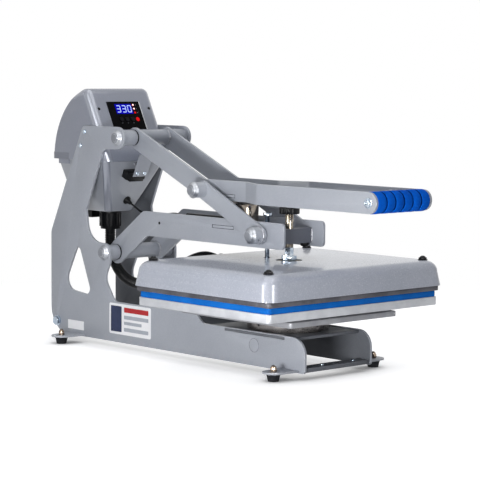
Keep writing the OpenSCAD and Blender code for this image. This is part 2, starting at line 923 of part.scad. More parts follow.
// Switch behind the bracket, with its lever below
module limit_switch() {
    switch_w = 56;
    switch_h = 19;
    switch_rise = 2;
    reach = 18;
    lever_w = 41;
    lever_t = 6.5;
    color("#17181a") placed() on_box_front() difference() {
        translate([switch_x + reach - switch_w, switch_up + switch_rise - switch_h, fit]) {
            cube([switch_w, switch_h, bracket_stand - 2 * fit]);
            translate([switch_w - lever_w, -lever_t, bracket_stand / 3]) {
                cube([lever_w, lever_t, bracket_stand / 2]);
            }
        }
        for (x = switch_screw_x) translate([x, switch_up, bracket_stand / 3]) {
            cylinder(d = rivet_d + 2 * fit, h = bracket_stand);
        }
    }
}

module panhead_screws() {
    color("#c9ccd0") placed() {
        for (p = rivet_spots) both_sides() translate([-frame_out, p[0], p[1]]) rotate([0, -90, 0]) {
            panhead(rivet_d, frame_out - box_half + 2 * box_wall);
        }
        for (x = strip_screw_x) translate([x, strip_screw_y, strip_top]) panhead(rivet_d, screw_grip);
        for (x = switch_screw_x) on_box_front() {
            translate([x, switch_up, bracket_stand + bracket_t]) panhead(rivet_d, screw_grip);
        }
    }
}

module power_inlet() {
    color("#17181a") placed() translate([0, inlet_y, box_floor_z]) difference() {
        union() {
            box(-25, 25, -14, 14, -18, 0);
            box(-14 + fit, 14 - fit, -9 + fit, 9 - fit, 0, 2 * box_wall);
        }
        box(-12, 12, -8, 8, -18 - cut, -4);
    }
}

// Arms

// Line through two points, shifted sideways
function beside(p, q, by) = let(d = unit(q - p)) [p + by * [-d[1], d[0]], q + by * [-d[1], d[0]]];

// Crossing of two lines, each given by two points
function crossing(m, n) =
    let(d = m[1] - m[0], e = n[1] - n[0], f = n[0] - m[0])
    m[0] + d * (f[0] * e[1] - f[1] * e[0]) / (d[0] * e[1] - d[1] * e[0]);

function arm_outline() =
    let(low = [lower_y, lower_z], elbow = [elbow_y, arm_z])
    let(over = beside(low, elbow, -leg_w / 2), under = beside(low, elbow, leg_w / 2))
    let(top = [[0, arm_z + arm_h / 2], [1, arm_z + arm_h / 2]])
    let(bottom = [[0, arm_z - arm_h / 2], [1, arm_z - arm_h / 2]])
    let(high_bend = crossing(over, top), low_bend = crossing(under, bottom))
    let(tail = unit(low - elbow) * leg_w / 2)
    rounded([
        [-arm_front, arm_z - arm_h / 2, 10],
        [-arm_front, arm_z + arm_h / 2, 10],
        [high_bend[0], high_bend[1], 18],
        [over[0][0] + tail[0], over[0][1] + tail[1], leg_w / 2 - 0.01],
        [under[0][0] + tail[0], under[0][1] + tail[1], leg_w / 2 - 0.01],
        [low_bend[0], low_bend[1], 18]
    ]);

module arm() {
    hole_d = 6;
    sheet(-arm_out, arm_t) difference() {
        polygon(arm_outline());
        translate([lower_y, lower_z]) circle(d = pivot_d + 2 * run);
        translate([link_y, arm_z]) circle(d = pivot_d + 2 * run);
        translate([elbow_y - 50, arm_z + 4]) circle(d = hole_d);
        translate([magnet_y - magnet_tab / 2 - fit, magnet_plate_top - magnet_plate_t - fit]) {
            square([magnet_tab + 2 * fit, magnet_plate_t + 2 * fit]);
        }
    }
}

module left_arm() {
    color("#9da1a8") placed() arm();
}

module right_arm() {
    color("#9da1a8") placed() mirror([1, 0, 0]) arm();
}

module arm_tube() {
    color("#9da1a8") placed() ring_x(-arm_in, arm_in, lower_y, lower_z, tube_d, pivot_d + 2 * run);
}

module magnet_plate() {
    color("#84878e") placed() difference() {
        z0 = magnet_plate_top - magnet_plate_t;
        union() {
            box(-arm_in, arm_in, magnet_plate_front, magnet_plate_rear, z0, magnet_plate_top);
            both_sides() {
                translate([0, magnet_y, 0]) {
                    box(arm_in - cut, arm_out, -magnet_tab / 2, magnet_tab / 2, z0, magnet_plate_top);
                }
            }
        }
        translate([0, guide_y, z0 - cut]) cylinder(d = guide_d + 2 * run, h = magnet_plate_t + 2 * cut);
    }
}

module cross_block() {
    color("#55585f") placed() difference() {
        box(-arm_in, arm_in, -block_d / 2, block_d / 2, block_z, block_z + block_h);
        translate([0, 0, block_z - cut]) cylinder(d = screw_d + 2 * run, h = block_h + 2 * cut);
        both_sides() rod_x(-arm_in - cut, -arm_in + 6, link_y, arm_z, pivot_d + 4);
    }
}

module electromagnet() {
    color("#cfc9bf") placed() translate([0, magnet_y, magnet_plate_top]) difference() {
        union() {
            cylinder(d = magnet_d, h = magnet_h - 1);
            translate([0, 0, magnet_h - 1]) cylinder(d1 = magnet_d, d2 = magnet_d - 2, h = 1);
        }
        translate([0, 0, magnet_h - 2]) difference() {
            cylinder(d = magnet_d - 16, h = 3);
            cylinder(d = magnet_d - 34, h = 3);
        }
    }
}

// Black sleeve that leads the cable along the plate to the magnet, with its clamp bar
module cable_sleeve() {
    clamp_w = 2 * sleeve_d;
    clamp_l = 18;
    length = magnet_plate_rear - magnet_y - magnet_d / 2 - 0.5;
    color("#1b1c1f") placed() translate([0, magnet_plate_rear, magnet_plate_top]) difference() {
        union() {
            translate([0, 0, sleeve_d / 2]) rotate([90, 0, 0]) cylinder(d = sleeve_d, h = length);
            box(-clamp_w / 2, clamp_w / 2, -length / 2, -length / 2 + clamp_l, 0, sleeve_d / 2);
        }
        translate([0, cut, sleeve_d / 2]) rotate([90, 0, 0]) cylinder(d = cable_d - 1, h = length / 2);
    }
}

// Handle

function lever_outline() =
    let(top_z = toggle_z + lever_h / 2, low_z = toggle_z - lever_h / 2, end = -grip_y)
    let(up = [upper_y, upper_z], knee = [knee_y, toggle_z])
    let(over = beside(up, knee, -lever_band / 2), under = beside(up, knee, lever_band / 2))
    let(high = crossing(over, [[0, top_z], [1, top_z]]), low = crossing(under, [[0, low_z], [1, low_z]]))
    rounded([
        [end, low_z, 0],
        [end, top_z, 0],
        [high[0], high[1], 6],
        [over[0][0], over[0][1], 0],
        [under[0][0], under[0][1], 0],
        [low[0], low[1], 10]
    ]);

module lever_profile() {
    difference() {
        union() {
            polygon(lever_outline());
            translate([upper_y, upper_z]) circle(d = lever_band);
            translate([-grip_y, toggle_z]) circle(d = lever_h);
        }
        translate([upper_y, upper_z]) circle(d = pivot_d + 2 * run);
        translate([-grip_y, toggle_z]) circle(d = grip_screw_d + 2 * fit);
        translate([magnet_y - armature_tab / 2 - fit, armature_plate_z - fit]) {
            square([armature_tab + 2 * fit, armature_plate_t + 2 * fit]);
        }
    }
}

// Plan of the handle's plate: straight at the pivots, flared with round bends, straight at the grip
module lever_plan() {
    rear = upper_y + lever_band;
    front = -grip_y - lever_h;
    polygon(rounded([
        [-lever_out, rear, 0],
        [-lever_out, flare_rear, flare_r],
        [-handle_out, flare_front, flare_r + lever_t],
        [-handle_out, front, 0],
        [-handle_in, front, 0],
        [-handle_in, flare_front + 1, flare_r],
        [-lever_in, flare_rear + 1, flare_r + lever_t],
        [-lever_in, rear, 0]
    ], 8));
}

module lever() {
    intersection() {
        sheet(-handle_out - cut, handle_out) lever_profile();
        translate([0, 0, toggle_z - lever_h]) linear_extrude(upper_z - toggle_z + 2 * lever_h) lever_plan();
    }
    translate([-lever_in, toggle_y, toggle_z]) rotate([0, 90, 0]) hex(1.5 * toggle_d, toggle_d / 2);
}

module left_lever() {
    color("#9da1a8") placed() lever();
}

module right_lever() {
    color("#9da1a8") placed() mirror([1, 0, 0]) lever();
}

module lever_tube() {
    color("#9da1a8") placed() ring_x(-lever_in, lever_in, upper_y, upper_z, tube_d, pivot_d + 2 * run);
}

module armature_plate() {
    color("#6d6e70") placed() {
        z0 = armature_plate_z;
        half = armature_len / 2;
        box(-lever_in, lever_in, magnet_y - half, magnet_y + half, z0, z0 + armature_plate_t);
        both_sides() {
            translate([0, magnet_y, z0]) {
                box(lever_in - cut, lever_out, -armature_tab / 2, armature_tab / 2, 0, armature_plate_t);
            }
        }
        translate([0, magnet_y, magnet_top + armature_gap]) {
            cylinder(d = armature_d, h = z0 - magnet_top - armature_gap + cut);
        }
        translate([0, magnet_y, z0 + armature_plate_t]) hex(armature_d / 3, 1.5 * armature_plate_t);
    }
}

module grip_tube() {
    color("#b9bbbd") placed() {
        ring_x(-handle_in, handle_in, -grip_y, toggle_z, grip_core_d, grip_screw_d + 2 * fit);
    }
}

module foam_grip() {
    color("#1c63c8") placed() {
        groove_w = 3;
        groove_deep = 2;
        end_gap = 0.3;
        pitch = (handle_in * 2) / (grip_grooves + 1);
        difference() {
            rod_x(-handle_in + end_gap, handle_in - end_gap, -grip_y, toggle_z, grip_d);
            rod_x(-handle_in - cut, handle_in + cut, -grip_y, toggle_z, grip_core_d + 2 * fit);
            for (i = [1:grip_grooves]) {
                x = -handle_in + i * pitch - groove_w / 2;
                ring_x(x, x + groove_w, -grip_y, toggle_z, grip_d + 4, grip_d - 2 * groove_deep);
            }
        }
    }
}

module grip_screws() {
    color("#c9ccd0") placed() both_sides() translate([-handle_out, -grip_y, toggle_z]) rotate([0, -90, 0]) {
        depth = 34;
        translate([0, 0, -depth]) cylinder(d = grip_screw_d, h = depth);
        cylinder(d = 2.2 * grip_screw_d, h = 1.6);
        translate([0, 0, 1.6]) difference() {
            chamfered_cap(1.7 * grip_screw_d, 5, 2);
            translate([0, 0, 2]) hex(6, 4);
        }
    }
}

// Links

module link() {
    difference() {
        union() {
            hull() for (p = [[toggle_y, toggle_z], [link_y, arm_z]]) {
                rod_x(-link_out, -link_in, p[0], p[1], link_w);
            }
            rod_x(-link_out - boss_l, -link_in, toggle_y, toggle_z, cap_d - 2);
            rod_x(-link_out - boss_l + cap_h - 4, -link_in, link_y, arm_z, cap_d);
        }
        rod_x(-link_out - boss_l - 2 * cut, 0, toggle_y, toggle_z, toggle_d + 2 * fit);
        rod_x(-link_out - boss_l - 2 * cut, 0, link_y, arm_z, pivot_d + 2 * fit);
        translate([-link_out - boss_l / 2, link_y - cap_d / 2 - cut, arm_z - 8]) rotate([-90, 0, 0]) {
            cylinder(d = set_screw_d, h = 8);
        }
    }
}

module left_link() {
    color("#9da1a8") placed() link();
}

module right_link() {
    color("#9da1a8") placed() mirror([1, 0, 0]) link();
}

// The open pivot: each bolt's spacer stops short of the handle's plate
module toggle_bolts() {
    color("#c8c6c0") placed() both_sides() {
        head = -link_out - boss_l;
        rod_x(head, -link_in + cut, toggle_y, toggle_z, toggle_d);
        rod_x(-link_in, -lever_out - side_run, toggle_y, toggle_z, cap_d - 6);
        translate([head, toggle_y, toggle_z]) rotate([0, -90, 0]) {
            chamfered_cap(cap_d, cap_h, 3);
            cylinder(d = cap_d - 14, h = cap_h + 1.5);
        }
    }
}

module link_pins() {
    color("#c8c6c0") placed() both_sides() {
        head = -link_out - boss_l + cap_h - 4;
        rod_x(head, -arm_in + pin_inner, link_y, arm_z, pivot_d);
        translate([head, link_y, arm_z]) rotate([0, -90, 0]) {
            chamfered_cap(cap_d, cap_h, 4);
            cylinder(d = cap_d - 14, h = cap_h + 1);
        }
    }
}

// Heated platen

cover_steps = [[0, 0], [4, 0.46], [9, 0.76], [14, 0.9], [20, 0.97], [26, 1]];

module cover_form(inset, drop) {
    half_x = platen_w / 2 + cover_over - cover_r - inset;
    half_y = platen_d / 2 + cover_over - cover_r - inset;
    hull() for (s = cover_steps) translate([0, 0, cover_z + s[1] * (cover_h - drop)]) {
        four_corners(half_x - s[0], half_y - s[0]) cylinder(r = cover_r, h = 0.01, $fn = 32);
    }
}

module platen_cover() {
    color("#a6abb2") placed() difference() {
        union() {
            cover_form(0, 0.01);
            at_hose_boss() cylinder(d = hose_boss_d, h = hose_boss_h + hose_boss_root);
        }
        translate([0, 0, -cut]) cover_form(cover_wall, cover_wall - cut);
        translate([0, 0, cover_top - cover_h / 2]) cylinder(d = centre_hole_d, h = cover_h);
        four_corners(nut_x, nut_y) translate([0, 0, cover_top - cover_h / 2]) {
            cylinder(d = stud_d + 2 * fit, h = cover_h);
        }
        translate([0, guide_y, cover_top - cover_h / 2]) cylinder(d = guide_d + 6, h = cover_h);
        at_hose_boss() translate([0, 0, -cut]) cylinder(d = hose_bore, h = hose_boss_h + 2 * hose_boss_d);
    }
}

// Boss on the cover's rear wall that the hose meets squarely
module at_hose_boss() {
    translate([0, hose_end_y, hose_end_z]) rotate([90 + hose_end_lean, 0, 0]) {
        translate([0, 0, hose_end_gap]) children();
    }
}

module heater_plate() {
    color("#4c4744") placed() translate([0, 0, heater_z]) {
        round_slab(platen_w + 2 * heater_over, platen_d + 2 * heater_over, platen_r, heater_t);
    }
}

module insulation() {
    color("#e6e2d6") placed() translate([0, 0, heater_top]) difference() {
        gap = 30;
        round_slab(platen_w - 2 * gap, platen_d - 2 * gap, cover_r, groove + cover_h - cover_wall);
        translate([0, 0, -cut]) cylinder(d = coupling_nut_w + 8, h = 100);
        translate([0, guide_y, -cut]) cylinder(d = guide_d + 6, h = 100);
        box(-20, 20, platen_d / 2 - gap - 14, platen_d, -cut, 100);
    }
}

module cover_nuts() {
    color("#1f2023") placed() four_corners(nut_x, nut_y) {
        flange_h = 1.5;
        nut_h = 5.5;
        dome_r = 0.9 * stud_d;
        dome_h = 4;
        translate([0, 0, heater_top]) cylinder(d = stud_d, h = cover_top - heater_top);
        translate([0, 0, cover_top]) {
            cylinder(d = 2.6 * stud_d, h = flange_h);
            translate([0, 0, flange_h]) hex(2.1 * stud_d, nut_h - flange_h);
            translate([0, 0, nut_h]) intersection() {
                translate([0, 0, dome_h - dome_r]) sphere(r = dome_r);
                cylinder(d = 3 * stud_d, h = stud_d);
            }
        }
    }
}

module screw_coupling() {
    color("#c6ccd2") placed() difference() {
        union() {
            translate([0, 0, heater_top]) cylinder(d = coupling_nut_w, h = coupling_z - heater_top);
            translate([0, 0, coupling_z]) hex(coupling_nut_w, coupling_nut_h);
            translate([0, 0, coupling_z + coupling_nut_h]) hex(coupling_w, coupling_h);
        }
        translate([0, 0, coupling_top - spigot_l - 1]) {
            cylinder(d = spigot_d + 2 * run, h = spigot_l + 1 + cut);
        }
    }
}

module guide_bolt() {
    color("#c6ccd2") placed() translate([0, guide_y, 0]) {
        translate([0, 0, heater_top]) cylinder(d = guide_d, h = guide_top - heater_top);
        translate([0, 0, guide_top]) hex(1.7 * guide_d, 8);
    }
}

// Pressure screw and knob

module pressure_screw() {
    color("#c6ccd2") placed() {
        translate([0, 0, coupling_top - spigot_l]) cylinder(d = spigot_d, h = spigot_l + cut);
        translate([0, 0, coupling_top + 0.3]) cylinder(d = screw_d, h = knob_z - coupling_top - 0.3);
        translate([0, 0, knob_z]) cylinder(d = spigot_d, h = knob_h - 4);
    }
}

module pressure_knob() {
    color("#17181a") placed() translate([0, 0, knob_z]) difference() {
        lobes = 12;
        union() {
            cylinder(d1 = knob_d - 2, d2 = knob_d, h = 2);
            translate([0, 0, 2]) cylinder(d = knob_d, h = knob_h - 4);
            translate([0, 0, knob_h - 2]) cylinder(d1 = knob_d, d2 = knob_d - 5, h = 2);
        }
        translate([0, 0, -cut]) cylinder(d = spigot_d + 2 * fit, h = knob_h - 4 + cut);
        for (a = [0:360 / lobes:359]) rotate([0, 0, a]) {
            translate([knob_d / 2 + 1.5, 0, -cut]) cylinder(d = 7, h = knob_h + 2 * cut);
        }
    }
}

// Hose and cable: tubes swept along their routes, which lie close to planes across X

function spline(p0, p1, p2, p3, t) =
    let(square = 2 * p0 - 5 * p1 + 4 * p2 - p3, cube = 3 * p1 - p0 - 3 * p2 + p3)
    0.5 * (2 * p1 + (p2 - p0) * t + square * t * t + cube * t * t * t);

// Point at a share of the route, with straight ends
function route_point(route, share) =
    let(last = len(route) - 1, s = min(share, 0.999999) * last, i = floor(s), t = s - i)
    let(before = i > 0 ? route[i - 1] : 2 * route[0] - route[1])
    let(after = i + 2 <= last ? route[i + 2] : 2 * route[last] - route[last - 1])
    spline(before, route[i], route[i + 1], after, t);

function route_way(route, share) =
    let(step = 0.002)
    unit(route_point(route, min(1, share + step)) - route_point(route, max(0, share - step)));

function ring_at(route, share, r, sides) =
    let(p = route_point(route, share), way = route_way(route, share))
    let(side = unit(cross(way, cross([1, 0, 0], way))), up = cross(way, side))
    [for (k = [0:sides - 1]) p + r * (cos(k * 360 / sides) * side + sin(k * 360 / sides) * up)];

// Triangles between ring a and the next ring, seen from outside
function band(a, b, sides) = [
    for (k = [0:sides - 1]) let(m = (k + 1) % sides)
        each [[a + k, b + k, b + m], [a + k, b + m, a + m]]
];

// Tube with one radius per ring; a bore of fewer rings is joined at both ends
module ribbed_tube(route, radii, bore_r, bore_rings, sides) {
    n = len(radii);
    outer = [for (i = [0:n - 1]) each ring_at(route, i / (n - 1), radii[i], sides)];
    inner = [for (i = [0:bore_rings - 1]) each ring_at(route, i / (bore_rings - 1), bore_r, sides)];
    first = n * sides;
    end = first + (bore_rings - 1) * sides;
    skin = [for (i = [0:n - 2]) each band(i * sides, (i + 1) * sides, sides)];
    hole = [for (i = [0:bore_rings - 2]) each band(first + (i + 1) * sides, first + i * sides, sides)];
    mouths = concat(band(first, 0, sides), band((n - 1) * sides, end, sides));
    polyhedron(points = concat(outer, inner), faces = concat(skin, hole, mouths));
}

module plain_tube(route, r, rings, sides) {
    points = [for (i = [0:rings - 1]) each ring_at(route, i / (rings - 1), r, sides)];
    skin = [for (i = [0:rings - 2]) each band(i * sides, (i + 1) * sides, sides)];
    last = (rings - 1) * sides;
    ends = [for (k = [1:sides - 2]) each [[0, k, k + 1], [last, last + k + 1, last + k]]];
    polyhedron(points = points, faces = concat(skin, ends));
}

hose_rib_deep = 1.6;
hose_radii = [for (i = [0:2 * hose_ribs]) i % 2 == 0 ? hose_d / 2 - hose_rib_deep : hose_d / 2];
hose_bore_rings = 36;
hose_sides = 8;

// Least gap of the hose to itself: points well over four diameters apart along it
hose_steps = 60;
hose_apart = 24;
hose_marks = [for (i = [0:hose_steps]) route_point(hose_route, i / hose_steps)];
hose_self_gap = min([
    for (i = [0:hose_steps - hose_apart], j = [i + hose_apart:hose_steps])
        norm(hose_marks[i] - hose_marks[j]) - hose_d
]);
echo(hose_least_self_gap_mm = hose_self_gap);

module heater_hose() {
    color("#141517") placed() ribbed_tube(hose_route, hose_radii, hose_bore / 2, hose_bore_rings, hose_sides);
}

module magnet_cable() {
    color("#141517") placed() plain_tube(cable_route, cable_d / 2, 24, 8);
}

left_side_plate();
right_side_plate();
base_top_plate();
front_strip();
rear_tie();
tie_bolts();
foot_tabs();
rubber_feet();
foot_nuts();
upper_pivot_bolt();
lower_pivot_bolt();
pivot_spacers();
pedestal_disc();
socket_screws();
platen_bracket();
lower_platen();
silicone_pad();
control_box();
control_cover();
display_panel();
display_window();
indicator_leds();
panhead_screws();
control_board();
cable_gland();
cord_grommet();
limit_switch();
switch_bracket();
power_inlet();
left_arm();
right_arm();
arm_tube();
magnet_plate();
cross_block();
electromagnet();
cable_sleeve();
left_lever();
right_lever();
lever_tube();
armature_plate();
grip_tube();
foam_grip();
grip_screws();
left_link();
right_link();
toggle_bolts();
link_pins();
platen_cover();
heater_plate();
insulation();
cover_nuts();
screw_coupling();
guide_bolt();
pressure_screw();
pressure_knob();
down_button();
set_button();
up_button();
heater_hose();
magnet_cable();
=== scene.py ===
"""Looks of a clamshell heat press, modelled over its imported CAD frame."""

import logging
import math
from contextlib import contextmanager
from dataclasses import dataclass, replace
from enum import Enum
from typing import Callable, Iterator, Sequence

import bmesh
import bpy
from mathutils import Matrix, Vector


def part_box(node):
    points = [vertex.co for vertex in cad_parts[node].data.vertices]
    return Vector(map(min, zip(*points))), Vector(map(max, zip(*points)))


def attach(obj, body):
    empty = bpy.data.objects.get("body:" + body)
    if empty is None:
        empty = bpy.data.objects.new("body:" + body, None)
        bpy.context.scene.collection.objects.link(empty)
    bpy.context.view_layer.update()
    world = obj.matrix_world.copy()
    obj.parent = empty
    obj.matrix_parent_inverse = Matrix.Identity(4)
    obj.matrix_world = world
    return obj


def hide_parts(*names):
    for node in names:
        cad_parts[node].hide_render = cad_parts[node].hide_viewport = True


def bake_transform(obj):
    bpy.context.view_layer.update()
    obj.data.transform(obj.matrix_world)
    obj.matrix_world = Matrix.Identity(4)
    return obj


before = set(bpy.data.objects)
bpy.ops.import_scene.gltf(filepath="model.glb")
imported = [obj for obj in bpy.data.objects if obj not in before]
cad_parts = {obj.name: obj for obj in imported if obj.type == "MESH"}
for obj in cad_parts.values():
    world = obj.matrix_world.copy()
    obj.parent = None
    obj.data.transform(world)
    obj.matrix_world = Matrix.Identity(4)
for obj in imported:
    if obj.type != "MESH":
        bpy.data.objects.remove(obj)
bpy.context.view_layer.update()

log = logging.getLogger("heat_press")

Piece = bpy.types.Object
Node = bpy.types.Node
Socket = bpy.types.NodeSocket
Tree = bpy.types.NodeTree

NODES: dict[str, Piece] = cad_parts
MID_Y = 187.0
Colour = tuple[float, float, float, float]
Place = tuple[float, float, float]
Area = tuple[float, float, float, float]
Pairs = tuple[tuple[float, float], ...]
WHITE: Colour = (1.0, 1.0, 1.0, 1.0)


def spot(x: float, y: float, z: float) -> Vector:
    """Turn a place on the press into the frame.

    Args:
        x: Distance to the right of the middle plane, in millimetres.
        y: Distance behind the pressure screw's axis, in millimetres.
        z: Height above the bench, in millimetres.

    Returns:
        The point in the frame, in metres.
    """
    return Vector((x, y - MID_Y, z)) / 1000.0


def mm(value: float) -> float:
    """Millimetres as metres."""
    return value / 1000.0


def placed(x: float, y: float, z: float) -> Matrix:
    """The move from the origin to a place on the press."""
    return Matrix.Translation(spot(x, y, z))


def across(x: float, y: float, z: float) -> Matrix:
    """The move to a place on the press that also lays a turned piece's axis along X."""
    return placed(x, y, z) @ Matrix.Rotation(math.pi / 2.0, 4, "Y")


def rgb(red: int, green: int, blue: int) -> Colour:
    """Turn a screen colour into the linear colour that a shader takes.

    Args:
        red: Red, from 0 to 255.
        green: Green, from 0 to 255.
        blue: Blue, from 0 to 255.

    Returns:
        The linear colour with full alpha.
    """

    def linear(level: int) -> float:
        """One channel, linear."""
        share = level / 255.0
        return share / 12.92 if share <= 0.04045 else ((share + 0.055) / 1.055) ** 2.4

    return (linear(red), linear(green), linear(blue), 1.0)


# Studio


class Shine(Enum):
    """What a lamp shows on: all surfaces, their gloss alone or their own colour alone."""

    ALL = "all"
    GLOSS = "gloss"
    MATT = "matt"


@dataclass
class Studio:
    """Camera, white floor and soft lights round the press."""

    lens: float = 143.44
    yaw: float = 0.7515
    pitch: float = 0.0898
    roll: float = -0.0082
    eye: Place = (-2879.2, -2926.2, 646.0)
    sky: Colour = rgb(244, 248, 255)
    world_level: float = 0.25
    paper: Colour = rgb(206, 206, 207)
    floor_lift: float = 0.74
    shade_reach: float = 0.07
    floor_radius: float = 30.0
    floor_z: float = -0.0004
    fade_from: float = 0.75
    fade_to: float = 1.6

    def set_camera(self) -> None:
        """Set the camera at the photograph's place and angle."""
        ahead = Vector((
            math.sin(self.yaw) * math.cos(self.pitch),
            math.cos(self.yaw) * math.cos(self.pitch),
            -math.sin(self.pitch),
        ))
        level = Vector((math.cos(self.yaw), -math.sin(self.yaw), 0.0))
        above = level.cross(ahead)
        right = math.cos(self.roll) * level - math.sin(self.roll) * above
        up = math.sin(self.roll) * level + math.cos(self.roll) * above
        data = bpy.data.cameras.new("studio_camera")
        data.lens = self.lens
        data.sensor_width = 36.0
        data.sensor_fit = "HORIZONTAL"
        data.clip_start = 0.05
        data.clip_end = 200.0
        camera = bpy.data.objects.new("studio_camera", data)
        turn = Matrix((right, up, -ahead)).transposed().to_4x4()
        camera.matrix_world = Matrix.Translation(spot(*self.eye)) @ turn
        bpy.context.scene.collection.objects.link(camera)
        bpy.context.scene.camera = camera

    def set_world(self) -> None:
        """Give the world a plain level of light, and white where it is seen or mirrored."""
        world = bpy.data.worlds.new("studio_world")
        bpy.context.scene.world = world
        world.use_nodes = True
        graph = Graph(world.node_tree)
        graph.tree.nodes.clear()
        light = graph.add("ShaderNodeBackground", Color=self.sky, Strength=self.world_level)
        white = graph.add("ShaderNodeBackground", Color=WHITE, Strength=1.0)
        graph.add("ShaderNodeOutputWorld", Surface=graph.mix(graph.seen(), light, white))

    def lay_floor(self) -> None:
        """Lay a pale floor that keeps the shadow near the press, darkened further by ambient occlusion as
        painted shade, and is white further out.
        """
        Bench.put_away()
        bpy.ops.mesh.primitive_circle_add(
            vertices=96, radius=self.floor_radius, fill_type="NGON", location=(0.0, 0.0, self.floor_z)
        )
        floor = bpy.context.object
        floor.name = "floor"
        material = bpy.data.materials.new("studio_floor")
        material.use_nodes = True
        graph = Graph(material.node_tree)
        graph.tree.nodes.clear()
        far = graph.add("ShaderNodeVectorMath", operation="LENGTH")
        graph.feed(graph.add("ShaderNodeTexCoord").outputs["Object"], far.inputs[0])
        fade = graph.spread(far.outputs["Value"], self.fade_from, self.fade_to)
        seen = graph.seen()
        # The white glow is dimmed by ambient occlusion near the press: painted shade.
        occlusion_shade = graph.add("ShaderNodeAmbientOcclusion", Distance=self.shade_reach)
        lift = graph.maths("MULTIPLY", seen, self.floor_lift)
        lift = graph.maths("MULTIPLY", lift, occlusion_shade.outputs["AO"])
        near = graph.add("ShaderNodeAddShader")
        paper = graph.add("ShaderNodeBsdfDiffuse", Color=self.paper)
        graph.feed(paper.outputs[0], near.inputs[0])
        graph.feed(graph.add("ShaderNodeEmission", Color=WHITE, Strength=lift).outputs[0], near.inputs[1])
        white = graph.add("ShaderNodeEmission", Color=WHITE)
        away = graph.maths("MULTIPLY", fade, seen)
        graph.add("ShaderNodeOutputMaterial", Surface=graph.mix(away, near, white))
        floor.data.materials.append(material)

    def hang_lights(self) -> None:
        """Hang a large soft light over the press, softer ones beside it and cards that only gloss shows."""
        lights = (
            ("overhead_soft", (0.1, -0.2, 2.6), (0.0, 0.0, 0.2), (2.4, 2.4), 25.0, Shine.ALL),
            ("left_soft", (-1.55, -0.95, 0.13), (-0.1, -0.2, 0.16), (0.5, 0.24), 20.0, Shine.ALL),
            ("upper_fill", (-1.6, -0.9, 1.9), (0.0, 0.1, 0.4), (0.8, 0.8), 4.5, Shine.ALL),
            ("front_strip_light", (-0.9, -2.7, 1.2), (0.0, -0.2, 0.25), (0.4, 1.1), 3.2, Shine.ALL),
            ("rear_fill", (1.9, 1.3, 1.3), (0.0, 0.1, 0.25), (1.2, 1.0), 14.0, Shine.MATT),
            ("upper_card", (-1.85, -0.45, 1.5), (-0.1, 0.36, 0.5), (0.9, 0.6), 13.0, Shine.GLOSS),
            ("corner_card_left", (-1.8, -0.12, 0.42), (-0.2, -0.4, 0.2), (0.42, 0.8), 18.0, Shine.GLOSS),
            ("corner_card_front", (-0.56, -1.95, 0.42), (-0.2, -0.4, 0.2), (0.4, 0.8), 17.0, Shine.GLOSS),
        )
        for name, place, aim, size, power, shine in lights:
            data = bpy.data.lights.new(name, "AREA")
            data.shape = "RECTANGLE"
            data.size, data.size_y = size
            data.energy = power
            lamp = bpy.data.objects.new(name, data)
            lamp.visible_diffuse = shine is not Shine.GLOSS
            lamp.visible_glossy = shine is not Shine.MATT
            lamp.location = place
            lamp.rotation_euler = (Vector(aim) - Vector(place)).to_track_quat("-Z", "Y").to_euler()
            bpy.context.scene.collection.objects.link(lamp)

    def build(self) -> None:
        """Set the whole studio."""
        bpy.context.scene.view_settings.view_transform = "Standard"
        self.set_camera()
        self.set_world()
        self.lay_floor()
        self.hang_lights()


# Shader nodes and finishes


class Graph:
    """A node tree with short calls to add and join nodes."""

    def __init__(self, tree: Tree) -> None:
        """Take the tree to work on."""
        self.tree = tree

    def feed(self, value: object, target: Socket) -> None:
        """Give an input a number, a colour or another node's output."""
        if isinstance(value, Socket):
            self.tree.links.new(value, target)
        else:
            target.default_value = value

    def add(self, kind: str, **values: object) -> Node:
        """Add a node.

        Args:
            kind: The node's Blender type.
            **values: Properties of the node, or what its inputs are given.

        Returns:
            The new node.
        """
        node = self.tree.nodes.new(kind)
        for name, value in values.items():
            if name in node.inputs:
                self.feed(value, node.inputs[name])
            else:
                setattr(node, name, value)
        return node

    def maths(self, operation: str, first: object, second: object) -> Socket:
        """Work out a product, a difference or the like.

        Args:
            operation: The Math node's operation.
            first: A number or an output.
            second: A number or an output.

        Returns:
            The result.
        """
        node = self.add("ShaderNodeMath", operation=operation)
        self.feed(first, node.inputs[0])
        self.feed(second, node.inputs[1])
        return node.outputs[0]

    def spread(self, value: Socket, low: object, high: object, interpolation: str = "SMOOTHSTEP") -> Socket:
        """Stretch a part of a value's range to run from 0 to 1.

        Args:
            value: The value.
            low: What becomes 0.
            high: What becomes 1.
            interpolation: How it runs between them.

        Returns:
            The stretched value.
        """
        node = self.add("ShaderNodeMapRange", interpolation_type=interpolation, Value=value)
        self.feed(low, node.inputs["From Min"])
        self.feed(high, node.inputs["From Max"])
        return node.outputs[0]

    def mix(self, share: Socket, first: Node, second: Node) -> Socket:
        """Mix two shaders.

        Args:
            share: The second one's share.
            first: The first shader's node.
            second: The second shader's node.

        Returns:
            The mixed shader.
        """
        node = self.add("ShaderNodeMixShader")
        for value, target in zip((share, first.outputs[0], second.outputs[0]), node.inputs):
            self.feed(value, target)
        return node.outputs[0]

    def seen(self) -> Socket:
        """1 where the camera sees a thing itself, mirrored or through glass, and 0 for its light."""
        path = self.add("ShaderNodeLightPath").outputs
        plain = self.maths("MAXIMUM", path["Is Camera Ray"], path["Is Glossy Ray"])
        return self.maths("MAXIMUM", plain, path["Is Transmission Ray"])


class Effect(Enum):
    """Surface effects that several finishes share, each one node group."""

    PEEL = "paint_peel"
    CLOUD = "broad_cloud"
    FLECK = "fine_fleck"
    LINES = "drawn_lines"
    DUST = "settled_dust"
    PORES = "open_pores"


